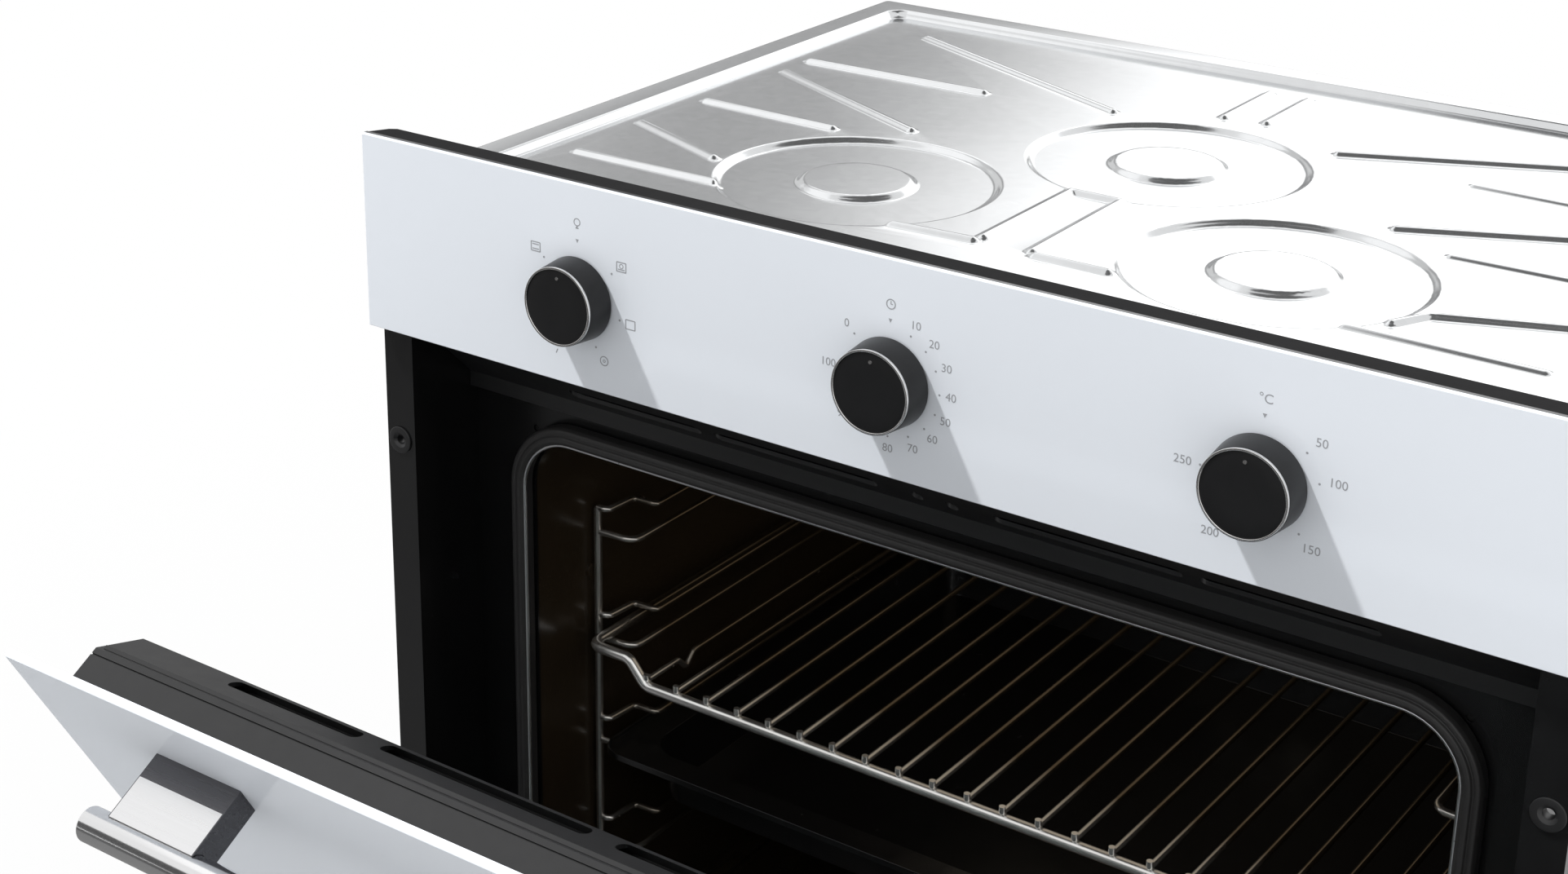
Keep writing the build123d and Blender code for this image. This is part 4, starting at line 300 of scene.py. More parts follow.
# %% Plastics and rubber
black_plastic = mottled(
    "black_plastic", (0.009, 0.009, 0.0095), (0.013, 0.013, 0.0135), (200.0,), (90.0, 4.0), 0.34, 0.12
)
black_plastic.grain(1500.0, 2.0, 0.00005, 0.35)
knob_plastic = mottled(
    "knob_plastic", (0.006, 0.006, 0.0065), (0.009, 0.009, 0.0095), (300.0,), (120.0, 4.0), 0.30, 0.1
)
knob_plastic.set(Specular_IOR_Level=0.35)
knob_plastic.grain(2400.0, 2.0, 0.00003, 0.3)
mottled("switch_plastic", (0.62, 0.60, 0.54), (0.70, 0.68, 0.62), (150.0,), (300.0,), 0.42, 0.1)
seal_rubber = mottled(
    "seal_rubber", (0.020, 0.0195, 0.0195), (0.034, 0.033, 0.033), (380.0, 4.0), None, 0.42, 0.15
)
seal_rubber.grain(1800.0, 3.0, 0.00006, 0.4)
matt_black = mottled(
    "matt_black", (0.007, 0.007, 0.0075), (0.010, 0.010, 0.0105), (200.0,), (90.0, 4.0), 0.7, 0.1
)
matt_black.set(Specular_IOR_Level=0.12)
print("plastics and rubber", len(Finish.made))

# %% [markdown]
# The handle is aluminium that was brushed along its length. Brushing leaves fine grooves all one
# way, so the noise is stretched a hundred times along X. The flanks and feet of its two arms are
# painted dark, a painted reflection, and a comparison with their middle and with the door's plane
# tells where. The wires of the racks and of the shelf are painted bright at the front and darker
# and browner further in, as painted shade and painted warm light deeper in the cavity.

# %% Metals
BRUSHED = (0.01, 1.0, 1.0)
mottled(
    "handle_metal",
    (0.74, 0.74, 0.745),
    (0.80, 0.80, 0.805),
    (900.0, 3.0, 0.6, BRUSHED),
    None,
    0.13,
    0.05,
    Metallic=1.0,
)

ARM_X, ARM_HALF, ARM_FOOT = 0.19825, 0.0247, -0.0395
arm_metal = Finish("arm_metal")
strokes = arm_metal.noise(700.0, 3.0, 0.6, BRUSHED)
from_middle = arm_metal.math("ABSOLUTE", arm_metal.along(ACROSS))
# Painted reflection: the arms' flanks and their foot by the glass are painted dark.
painted_dark_flank = arm_metal.math("ABSOLUTE", from_middle - ARM_X) > ARM_HALF
painted_dark_foot = arm_metal.along(door_normal) - hinge_point.dot(door_normal) > ARM_FOOT
bright = arm_metal.blend(strokes, (0.66, 0.66, 0.665), (0.76, 0.76, 0.765))
arm_metal.set(
    Metallic=1.0,
    Base_Color=arm_metal.blend(arm_metal.between(painted_dark_flank + painted_dark_foot, 0.0, 1.0), bright, (0.10, 0.10, 0.107)),
    Roughness=strokes * 0.08 + 0.24,
)

# Painted shade and painted warm light: the wires turn from pale to dark brown further into the cavity.
PAINTED_SHADE_FROM, PAINTED_SHADE_FULL = -0.185, -0.135
heated_wire = Finish("heated_wire")
inward = heated_wire.along(INWARD) + heated_wire.noise(30.0) * 0.02
painted_shade_inward = heated_wire.between(inward, PAINTED_SHADE_FROM, PAINTED_SHADE_FULL)
heated_wire.set(
    Metallic=0.9,
    Base_Color=heated_wire.blend(painted_shade_inward, (0.86, 0.85, 0.83), (0.16, 0.127, 0.088)),
    Roughness=heated_wire.noise(80.0) * 0.10 + 0.20,
)

mottled("chrome", (0.72, 0.71, 0.70), (0.82, 0.81, 0.80), (60.0,), (40.0,), 0.09, 0.08, Metallic=1.0)
mottled("steel", (0.42, 0.42, 0.43), (0.56, 0.56, 0.57), (90.0, 4.0), (200.0,), 0.28, 0.15, Metallic=1.0)
mottled("fan_aluminium", (0.66, 0.67, 0.68), (0.76, 0.77, 0.78), (50.0,), (300.0,), 0.24, 0.12, Metallic=1.0)
mottled("brass", (0.62, 0.45, 0.20), (0.75, 0.57, 0.28), (80.0, 4.0), (150.0,), 0.22, 0.15, Metallic=1.0)
mottled(
    "element_steel", (0.045, 0.040, 0.036), (0.10, 0.085, 0.07), (22.0, 4.0), None, 0.42, 0.2, Metallic=0.75
)
motor_iron = mottled(
    "motor_iron", (0.10, 0.10, 0.105), (0.19, 0.18, 0.175), (120.0, 4.0), (80.0,), 0.42, 0.2, Metallic=0.8
)
sheets = {"Vector": motor_iron.where, "Scale": 300.0, "Distortion": 0.2}
motor_iron.bump(motor_iron.node("ShaderNodeTexWave", sheets, bands_direction="DIAGONAL"), 0.0001, 0.4)
print("metals", len(Finish.made))

# %% [markdown]
# What is left is hidden or half hidden: the mineral wool round the cavity, the ceramic of the lamp
# socket and the clear inner glasses. They still get a finish, because the oven is also looked at
# from behind and with its door open. Close behind the front frame the wool is painted dark, as
# painted shade, because its pale fibres would show there as bright dots in the frame's small holes.

# %% Wool, ceramic and clear glass
DARK_WOOL, PALE_WOOL = -0.2150, -0.2120
wool = Finish("wool")
fibre = wool.noise(500.0, 5.0, 0.7, (0.2, 1.0, 0.5))
pale = wool.blend(fibre, (0.50, 0.45, 0.32), (0.78, 0.73, 0.58))
# Painted shade: close behind the front frame the wool gets a near black colour.
painted_shade_behind_frame = wool.between(wool.along(INWARD), DARK_WOOL, PALE_WOOL)
wool.set(Base_Color=wool.blend(painted_shade_behind_frame, (0.004, 0.004, 0.004), pale), Roughness=0.95)
wool.bump(fibre, 0.0015, 0.8)

mottled("ceramic", (0.70, 0.68, 0.62), (0.80, 0.78, 0.73), (120.0,), (400.0,), 0.4, 0.2)

clear_glass = Finish("clear_glass")
clear_glass.set(
    Base_Color=(0.93, 0.96, 0.95),
    Roughness=clear_glass.noise(12.0) * 0.03 + 0.01,
    IOR=1.46,
    Transmission_Weight=1.0,
)
print("finishes", sorted(Finish.made))

# %% [markdown]
# Each slot of the record names one finish. The nodes whose CAD shape is already right keep their
# mesh and only change their material. This first pass gives every node its finish, so nothing is
# left grey, and the later cells replace those that deserve a finer mesh.

# %% Give every node its finish
slot_of = {part["node"]: part["material_slot"] for part in frame["record"]["subparts"]}
for name, node in frame["nodes"].items():
    for material_slot in node.material_slots:
        material_slot.material = Finish.made[slot_of[name]]
body_of = {
    node: body
    for body, members in frame["record"]["behaviour"]["bodies"].items()
    for node in members
}
print("dressed nodes", len(slot_of))

# %% [markdown]
# A folded sheet or a moulding is never sharp: its edges are rounded by a few tenths of a
# millimetre, and that thin highlight is what makes it look solid. The CAD mesh is loose triangles,
# so a copy is merged, its flat faces are joined, and a small bevel goes round every sharp edge.
# A flat face with many slots keeps its triangles, because one face round all of them fills badly.

# %% A finer copy of a CAD node
@contextmanager
def editing(mesh):
    """Opens a mesh for editing and writes it back at the end."""
    shape = bmesh.new()
    shape.from_mesh(mesh)
    yield shape
    shape.to_mesh(mesh)
    shape.free()


def shade(mesh, angle):
    """Smooth shading with edges kept sharp past an angle in degrees."""
    mesh.polygons.foreach_set("use_smooth", [True] * len(mesh.polygons))
    mesh.set_sharp_from_angle(angle=radians(angle))


def evaluated(thing, **options):
    """A plain mesh of what an object's modifiers make."""
    graph = bpy.context.evaluated_depsgraph_get()
    graph.update()
    return bpy.data.meshes.new_from_object(thing.evaluated_get(graph), depsgraph=graph, **options)


def baked(thing):
    """Applies an object's modifiers and leaves a plain mesh on it."""
    mesh = evaluated(thing, preserve_all_data_layers=True)
    thing.modifiers.clear()
    old = thing.data
    thing.data = mesh
    bpy.data.meshes.remove(old)


def weigh_normals(thing, weight):
    """Keeps flat faces flat in the shading, beside small round ones."""
    flat = thing.modifiers.new("flat", "WEIGHTED_NORMAL")
    flat.keep_sharp, flat.weight = True, weight
    baked(thing)


def add_object(name, mesh):
    """A new object at the origin that shows a mesh."""
    thing = bpy.data.objects.new(name, mesh)
    scene.collection.objects.link(thing)
    return thing


def settle(thing, slot, body, *nodes, finish=None):
    """Hands a finished piece to the frame: its finish, its body and the nodes it stands for."""
    thing.data.materials.clear()
    thing.data.materials.append(Finish.made[finish or slot])
    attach(thing, body)
    if nodes:
        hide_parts(*nodes)
    return thing


MANY_HOLES = ("side_panels", "back_cover", "fan_cover", "base_plate")
OTHER_FINISH = {"panel_carrier": "matt_black", "handle_arms": "arm_metal", "baking_tray": "black_enamel"}
EDGES = {
    0.12: ("side_panels",),
    0.2: (
        "control_panel_glass",
        "base_plate",
        "hinge_receivers",
        "hinge_channels",
        "control_bracket",
        "air_duct",
    ),
    0.3: ("rear_panel", "baking_tray", "door_glass_middle", "hinge_arms"),
    0.35: ("back_cover", "fan_cover", "door_glass_outer"),
    0.4: ("panel_carrier", "terminal_block", "door_glass_inner"),
    0.45: ("front_frame",),
    0.5: ("air_outlet_strip", "door_columns", "door_bottom_rail"),
    0.6: ("door_top_rail",),
    0.8: ("handle_arms",),
}
SAME_POINT, FLAT_WITHIN, EDGE_FROM = 2e-6, radians(0.3), radians(32)
SHARP_FROM, FLAT_WEIGHT, EDGE_STEPS = 35, 80, 2


def merged(node):
    """A copy of a node's mesh with its points merged and its flat faces joined."""
    mesh = frame["nodes"][node].data.copy()
    with editing(mesh) as shape:
        bmesh.ops.remove_doubles(shape, verts=shape.verts, dist=SAME_POINT)
        if node not in MANY_HOLES:
            whole = {"verts": shape.verts, "edges": shape.edges}
            bmesh.ops.dissolve_limit(shape, angle_limit=FLAT_WITHIN, use_dissolve_boundaries=False, **whole)
    return mesh


def refine(node, edge):
    """A finer piece in place of a node: rounded edges, flat faces kept flat."""
    thing = add_object("fine_" + node, merged(node))
    bevel = thing.modifiers.new("edges", "BEVEL")
    bevel.width, bevel.segments = edge / 1000, EDGE_STEPS
    bevel.limit_method, bevel.angle_limit = "ANGLE", EDGE_FROM
    bevel.use_clamp_overlap, bevel.miter_outer = True, "MITER_ARC"
    baked(thing)
    shade(thing.data, SHARP_FROM)
    weigh_normals(thing, FLAT_WEIGHT)
    return settle(thing, slot_of[node], body_of[node], node, finish=OTHER_FINISH.get(node))


fine = [refine(node, edge) for edge, nodes in EDGES.items() for node in nodes]
print("refined", len(fine), "faces", sum(len(piece.data.polygons) for piece in fine))

# %% [markdown]
# Knobs, their rings, the bushes, the lamp's glass and the handle's bar are all turned parts: one
# half outline spun about a line. The CAD mesh has too few sides for a close look, so they are
# turned again here with many sides and with rounded corners in the outline itself. A turned part
# is a row of rings that faces join, and the seal will be one too, so the joining is its own
# function.

# %% Turned parts
ON_AXIS, NEARLY_STRAIGHT, MOST_OF_SIDE = 1e-6, radians(172), 0.45
TURNED_SHARP_FROM, SWEPT_SHARP_FROM, COVER_SHARP_FROM = 30, 40, 50


def neighbours(count):
    """Each index of a closed ring, with the next one."""
    return [(i, (i + 1) % count) for i in range(count)]


def whole_turn(sides):
    """Evenly spaced angles all the way round."""
    return [2 * pi * i / sides for i in range(sides)]


def around(centre, radius, angles):
    """Points round an (x, y) centre, one for each angle."""
    return [(centre[0] + radius * cos(a), centre[1] + radius * sin(a)) for a in angles]


def lofted(name, rings, angle):
    """A closed mesh over a closed row of rings. A ring of one point is a tip."""
    points, spans, faces = [], [], []
    for ring in rings:
        spans.append(range(len(points), len(points) + len(ring)))
        points += ring
    for k, m in neighbours(len(spans)):
        low, high = spans[k], spans[m]
        if len(low) == len(high) == 1:
            continue
        for i, j in neighbours(max(len(low), len(high))):
            face = (low[i % len(low)], low[j % len(low)], high[j % len(high)], high[i % len(high)])
            faces.append(tuple(dict.fromkeys(face)))
    mesh = bpy.data.meshes.new(name)
    mesh.from_pydata(points, [], faces)
    with editing(mesh) as shape:
        bmesh.ops.recalc_face_normals(shape, faces=shape.faces)
    shade(mesh, angle)
    return mesh


def turned(name, outline, centre, axis, sides):
    """Spins (radius, distance) points about an axis through a centre, all in millimetres."""
    side = axis.orthogonal().normalized()
    other = axis.cross(side)
    rings = []
    for radius, distance in outline:
        turns = whole_turn(sides if radius > ON_AXIS else 1)
        arms = [(side * cos(a) + other * sin(a)) * radius for a in turns]
        rings.append([centre + (axis * distance + arm) / 1000 for arm in arms])
    return lofted(name, rings, TURNED_SHARP_FROM)


def rounded(outline, radius, steps=4, spun=True):
    """Rounds each corner of a closed (x, y) outline, but not on the axis of a spun one."""
    result = []
    for i in range(len(outline)):
        before, here, after = (Vector(outline[k % len(outline)]) for k in (i - 1, i, i + 1))
        back, ahead = before - here, after - here
        bend = back.angle(ahead)
        if (spun and here.x < ON_AXIS) or bend > NEARLY_STRAIGHT:
            result.append(tuple(here))
            continue
        reach = min(radius / tan(bend / 2), back.length * MOST_OF_SIDE, ahead.length * MOST_OF_SIDE)
        true_radius = reach * tan(bend / 2)
        start, end = here + back.normalized() * reach, here + ahead.normalized() * reach
        halfway = (back.normalized() + ahead.normalized()).normalized()
        middle = here + halfway * true_radius / sin(bend / 2)
        first = start - middle
        sweep = first.angle_signed(end - middle)
        for k in range(steps + 1):
            arm = first.copy()
            arm.rotate(Matrix.Rotation(-sweep * k / steps, 2))
            result.append(tuple(middle + arm))
    return result


print("rounding a square gives", len(rounded([(1, 1), (9, 1), (9, 9), (1, 9)], 1)), "points")

# %% [markdown]
# A knob is a hollow drum, slightly wider at the panel than at its face, with a bright ring let
# into the rim and a dot that points to the scale. The ring and the dot are pieces of their own,
# since they have another finish. All three knobs are the same, so a loop makes them.

# %% Knobs, rings and dots
KNOB_BACK, KNOB_FRONT, KNOB_HOLLOW = -0.8, -15.5, -6.8
KNOB_BASE_R, KNOB_FACE_R, KNOB_BORE_R, KNOB_WALL_R = 20.0, 18.75, 6.0, 17.4
RING_DEPTH, RING_WIDTH, DOT_R, DOT_BELOW_RING = 1.1, 1.3, 0.9, 4.2
DRUM_ROUNDING, RING_ROUNDING, MANY_SIDES, FEW_SIDES = 0.45, 0.25, 128, 24
RING_FOOT_R, RING_BACK = KNOB_FACE_R - RING_DEPTH, KNOB_FRONT + RING_WIDTH
drum = [
    (0, KNOB_BACK - 2),
    (KNOB_BORE_R, KNOB_BACK - 2),
    (KNOB_BORE_R, KNOB_HOLLOW),
    (KNOB_WALL_R, KNOB_HOLLOW),
    (KNOB_WALL_R + 0.5, KNOB_BACK),
    (KNOB_BASE_R, KNOB_BACK),
    (KNOB_FACE_R + 0.1, RING_BACK),
    (RING_FOOT_R, RING_BACK),
    (RING_FOOT_R, KNOB_FRONT + 0.4),
    (9, KNOB_FRONT + 0.62),
    (0, KNOB_FRONT + 0.7),
]
ring = [(r, RING_BACK) for r in (RING_FOOT_R, KNOB_FACE_R)]
ring += [(r, KNOB_FRONT) for r in (KNOB_FACE_R, RING_FOOT_R)]
dot_foot, dot_top = KNOB_FRONT + 0.6, KNOB_FRONT + 0.3
dot = [(0, dot_foot), (DOT_R, dot_foot), (DOT_R - 0.1, dot_top), (0, dot_top)]
for name, x in KNOBS.items():
    centre, dot_centre = place(x, 0, KNOB_HEIGHT), place(x, 0, KNOB_HEIGHT + RING_FOOT_R - DOT_BELOW_RING)
    for suffix, outline, middle, sides, slot, node in (
        ("_drum", rounded(drum, DRUM_ROUNDING), centre, MANY_SIDES, "knob_plastic", "_knob"),
        ("_ring", rounded(ring, RING_ROUNDING), centre, MANY_SIDES, "chrome", "_knob_trim"),
        ("_dot", dot, dot_centre, FEW_SIDES, "chrome", "_knob_trim"),
    ):
        mesh = turned(name + suffix, outline, middle, INWARD, sides)
        settle(add_object(name + suffix, mesh), slot, "knob_" + name, name + node)

# %% [markdown]
# The marks round the knobs are printed on the glass. Numbers are text that is turned into a thin
# mesh, and the little pictures are drawn from strokes and discs. Only plain numbers and plain
# signs are used. They stand 0.05 mm out of the glass and reach as far into it, so they don't
# flicker.

# %% Printed marks
print_grey = Finish("print_grey")
print_grey.set(
    Base_Color=print_grey.blend(print_grey.noise(900.0), (0.29, 0.30, 0.32), (0.36, 0.37, 0.39)),
    Roughness=0.35,
)
INK, LINE, THIN_LINE, DOT, DIGITS = 0.05, 0.5, 0.4, 0.5, 5.2
DISC_SIDES, HOOP_SIDES = 14, 28
SIGN_HALF_WIDTH, SIGN_HALF_HEIGHT = 2.6, 2.2


def ink_mesh(outlines):
    """Thin printed shapes from closed (x, height) outlines, lying on the panel's face."""
    mesh = bpy.data.meshes.new("ink")
    with editing(mesh) as shape:
        for outline in outlines:
            front, back = ([shape.verts.new(place(x, depth, z)) for x, z in outline] for depth in (-INK, INK))
            shape.faces.new(front)
            shape.faces.new(back[::-1])
            for i, j in neighbours(len(outline)):
                shape.faces.new((front[j], front[i], back[i], back[j]))
        bmesh.ops.recalc_face_normals(shape, faces=shape.faces)
    return mesh


def disc(x, z, radius):
    """A filled dot."""
    return [around((x, z), radius, whole_turn(DISC_SIDES))]


def stroke(x0, z0, x1, z1, width=LINE):
    """A straight line of a given width."""
    length = hypot(x1 - x0, z1 - z0)
    nx, nz = -(z1 - z0) / length * width / 2, (x1 - x0) / length * width / 2
    return [[(x0 + nx, z0 + nz), (x1 + nx, z1 + nz), (x1 - nx, z1 - nz), (x0 - nx, z0 - nz)]]


def hoop(x, z, radius, width=LINE):
    """A circle, drawn as short strokes."""
    edges = (radius - width / 2, radius + width / 2)
    inner, outer = (around((x, z), r, whole_turn(HOOP_SIDES)) for r in edges)
    return [[inner[i], outer[i], outer[j], inner[j]] for i, j in neighbours(len(inner))]


def oven_sign(x, z):
    """The small rectangle that stands for the cavity."""
    w, h = SIGN_HALF_WIDTH, SIGN_HALF_HEIGHT
    corners = [(x - w, z - h), (x + w, z - h), (x + w, z + h), (x - w, z + h)]
    return [line for i, j in neighbours(4) for line in stroke(*corners[i], *corners[j])]


def text_mesh(words, x, z, size):
    """A number as a thin mesh, centred on a point of the panel."""
    letters = bpy.data.curves.new("digits", "FONT")
    letters.body, letters.size = words, size / 1000
    letters.align_x, letters.align_y = "CENTER", "CENTER"
    letters.extrude, letters.resolution_u = INK / 1000, 4
    holder = add_object("digits", letters)
    mesh = evaluated(holder)
    bpy.data.objects.remove(holder)
    mesh.transform(Matrix.Translation(place(x, 0, z)) @ Matrix.Rotation(radians(90), 4, "X"))
    return mesh


def one_mesh(name, meshes):
    """One mesh made of several, which are then removed."""
    whole = bpy.data.meshes.new(name)
    with editing(whole) as shape:
        for mesh in meshes:
            shape.from_mesh(mesh)
            bpy.data.meshes.remove(mesh)
    return whole


signs, numbers = [], []
fx, tx, cx = KNOBS.values()
fz = KNOB_HEIGHT
MARKER, MARKER_RISE = 0.9, 27.2
for x in KNOBS.values():
    low, high = fz + MARKER_RISE - MARKER, fz + MARKER_RISE + MARKER
    signs.append([(x - MARKER, high), (x + MARKER, high), (x, low)])
print("markers", len(signs))

# %% [markdown]
# Round the function knob stand small pictures of lines, rectangles, circles and dots. Each one is
# placed by its distance to the middle of the knob. The two other knobs have a round scale, whose
# degrees are counted clockwise from the top, and a small sign over it: a clock and °C.

# %% Signs and scales
LINES_BY_FUNCTION = (
    (-0.9, 33.4, 0.9, 33.4),
    (0, 34.5, 0, 33.4),
    (-26.3, 20.7, -22.5, 20.7),
    (-26.3, 18.5, -22.5, 18.5),
    (23.2, 18.9, 27.0, 18.9),
    (-12.2, -27.8, -13.2, -29.9),
)
for x0, z0, x1, z1 in LINES_BY_FUNCTION:
    signs += stroke(fx + x0, fz + z0, fx + x1, fz + z1)
RECTANGLES_BY_FUNCTION = ((-24.4, 19.6), (25.1, 20.1), (30.1, -6.4))
for dx, dz in RECTANGLES_BY_FUNCTION:
    signs += oven_sign(fx + dx, fz + dz)
HOOPS_BY_FUNCTION = (
    (0, 36.2, 1.7, LINE),
    (25.1, 20.5, 1.0, THIN_LINE),
    (15.0, -27.4, 2.2, LINE),
    (15.0, -27.4, 0.6, THIN_LINE),
)
for dx, dz, radius, width in HOOPS_BY_FUNCTION:
    signs += hoop(fx + dx, fz + dz, radius, width)
DOTS_BY_FUNCTION, FUNCTION_DOT = ((-19.6, 15.5), (19.6, 15.8), (24.0, -5.5), (10.3, -21.7)), 0.55
for dx, dz in DOTS_BY_FUNCTION:
    signs += disc(fx + dx, fz + dz, FUNCTION_DOT)
CLOCK, CLOCK_R, LONG_HAND, SHORT_HAND = fz + 34.5, 2.1, 1.4, 1.0
signs += hoop(tx, CLOCK, CLOCK_R)
signs += stroke(tx, CLOCK, tx, CLOCK + LONG_HAND, THIN_LINE)
signs += stroke(tx, CLOCK, tx + SHORT_HAND, CLOCK, THIN_LINE)


def scale(x, dots_at, numbers_at, degrees_of):
    """A round scale of dots and numbers about a knob."""
    for number, degrees in degrees_of.items():
        a = radians(degrees)
        signs.extend(disc(x + dots_at * sin(a), fz + dots_at * cos(a), DOT))
        numbers.append(text_mesh(str(number), x + numbers_at * sin(a), fz + numbers_at * cos(a), DIGITS))


MINUTES = {0: -45, 10: 24, 20: 45, 30: 66, 40: 90, 50: 112, 60: 133, 70: 155, 80: 179, 90: -132, 100: -87}
scale(tx, 24.7, 30.2, MINUTES)
scale(cx, 24.5, 32.0, {50: 47, 100: 77, 150: 134, 200: -145, 250: -89})
numbers.append(text_mesh("°C", cx, fz + 34.1, 5.6))
marks = add_object("panel_marks", one_mesh("panel_marks", [*numbers, ink_mesh(signs)]))
settle(marks, "switch_plastic", "housing", finish="print_grey")
print("marks", len(marks.data.polygons), "faces")

# %% [markdown]
# The top cover is one pressed sheet. Three rings are pressed down into it, narrow ribs stand up
# beside them, and a rim runs round the edge. All of them are only a few millimetres high with soft
# slopes, and the light that runs along those slopes is what shows on a photograph. A plain grid
# would cut the slopes into steps. Here the lines of each form are drawn several times, a little
# further in each time, the whole plane is filled with triangles that keep those lines, and each
# point is then moved by how far inside a form it lies.

# %% Rings and ribs
RING_PADS = ((-107.0, 140.0), (107.0, 140.0), (0.0, 254.0))
RING_OUTER, RING_INNER, RING_SLOPE, RING_SINK, SLOPE_OUTSIDE = 69.0, 26.0, 5.5, 0.60, 0.2
SIDE_RIBS = (
    ((240, 93), (158, 94)),
    ((245, 151), (181, 125)),
    ((242, 204), (162, 202)),
    ((241, 276), (128, 223)),
    ((243, 303), (134, 306)),
    ((217, 386), (62, 315)),
)
MIDDLE_RIBS = (
    ((-57, 92), (-17, 95)),
    ((-15, 101), (-15, 183), (11, 183), (12, 97)),
    ((16, 93), (51, 93)),
    ((-11, 340), (-11, 396)),
    ((11, 343), (11, 396)),
    ((181, 125), (172, 108)),
)
RIB_HALF, RIB_RISE, LOW_RISE, LOW_RIBS_FROM, LEVEL_WITHIN = 4.8, 0.5, 0.34, 100, 5
BENT_RIBS = SIDE_RIBS + tuple(tuple((-x, d) for x, d in rib) for rib in SIDE_RIBS) + MIDDLE_RIBS
RIBS = [ends for rib in BENT_RIBS for ends in zip(rib, rib[1:])]


def smooth_step(value):
    """0 to 1 with soft ends."""
    value = min(max(value, 0.0), 1.0)
    return value * value * value * (value * (value * 6 - 15) + 10)


def capsule(rib, radius, steps=8):
    """The line round a rib at one distance, with round ends."""
    (x0, d0), (x1, d1) = rib
    angle = atan2(d1 - d0, x1 - x0)
    points = []
    for centre, first in (((x1, d1), angle - pi / 2), ((x0, d0), angle + pi / 2)):
        points += around(centre, radius, [first + pi * k / steps for k in range(steps + 1)])
    return points


def relief(x, d):
    """How far the sheet lies over its plane at a point, as a share of the rim's height."""
    here = Vector((x, d))
    to_pads = [(here - Vector(centre)).length for centre in RING_PADS]
    inside = max(min(RING_OUTER - r, r - RING_INNER) for r in to_pads)
    raised = 0.0
    for a, b in RIBS:
        run = Vector(b) - Vector(a)
        share = min(max((here - Vector(a)).dot(run) / run.length_squared, 0.0), 1.0)
        off_line = (here - Vector(a) - run * share).length
        is_low = min(a[0], b[0]) > LOW_RIBS_FROM and abs(run.y) < LEVEL_WITHIN
        raised = max(raised, (LOW_RISE if is_low else RIB_RISE) * smooth_step(1 - off_line / RIB_HALF))
    return raised - RING_SINK * smooth_step(inside / RING_SLOPE + SLOPE_OUTSIDE)


print("rings", len(RING_PADS), "ribs", len(RIBS), "middle of a ring", round(relief(-107 - 47, 140), 2))

# %% [markdown]
# Now the sheet itself. The raised rim runs round the edge and ends in a rounded fold with a skirt
# of 17 mm. The contours of the rim, of the rings and of the ribs all go to one triangulation,
# which Blender has as a function. Solidify then gives the sheet its 0.8 mm.

# %% The pressed top cover
COVER_HALF, COVER_FRONT, COVER_BACK, SKIRT = 277.7, 17.5, 437.8, 17.0
RIM_WIDTH, RIM_SLOPE, RIM_CORNER, FOLD_R, EDGE_CORNER = 14.6, 4.8, 10.0, 1.6, 2.0
RIB_CONTOURS = (0.05, 0.9, 1.7, 2.5, 3.4, RIB_HALF)
SLOPE_SHARES, SAME_PLACE = [k / 6 for k in range(7)], 1e-4
SHEET, COVER_WEIGHT = 0.8, 90
flat_points, lifts, lines = [], [], []


def soft_rectangle(low, high, corner, steps):
    """A rectangle with round corners, from its lowest and highest (x, y) corners."""
    points = []
    for x, y, start in (
        (high[0] - corner, high[1] - corner, 0),
        (low[0] + corner, high[1] - corner, 90),
        (low[0] + corner, low[1] + corner, 180),
        (high[0] - corner, low[1] + corner, 270),
    ):
        points += around((x, y), corner, [radians(start + 90 * k / steps) for k in range(steps + 1)])
    return points


def cover_ring(inset, corner, steps=8):
    """The cover's outline, drawn in by a distance."""
    low, high = (-COVER_HALF + inset, COVER_FRONT + inset), (COVER_HALF - inset, COVER_BACK - inset)
    return soft_rectangle(low, high, corner, steps)


def contour(points, lift=None):
    """Adds one closed contour, with its height above the sheet if it belongs to the rim."""
    start = len(flat_points)
    flat_points.extend(Vector(p) for p in points)
    lifts.extend([lift] * len(points))
    lines.extend((start + i, start + j) for i, j in neighbours(len(points)))


outer_ring = cover_ring(FOLD_R, EDGE_CORNER)
contour(outer_ring, 1.0)
for share in SLOPE_SHARES:
    drawn_in = RIM_SLOPE * share
    contour(cover_ring(RIM_WIDTH + drawn_in, RIM_CORNER - drawn_in * 0.6, 10), 1 - smooth_step(share))
for share in SLOPE_SHARES:
    drawn_in = RING_SLOPE * (share - SLOPE_OUTSIDE)
    for centre in RING_PADS:
        contour(around(centre, RING_OUTER - drawn_in, whole_turn(144)))
        contour(around(centre, RING_INNER + drawn_in, whole_turn(96)))
for radius in RIB_CONTOURS:
    for rib in RIBS:
        contour(capsule(rib, radius))
coords, _, triangles, origin, _, _ = delaunay_2d_cdt(flat_points, lines, [], 0, SAME_PLACE)
print("cover's plane", len(coords), "points", len(triangles), "triangles")

# %% [markdown]
# The plane becomes a sheet. A point of the rim takes its contour's height, and every other point
# takes the relief. The fold and the skirt are then hung on the outermost ring.

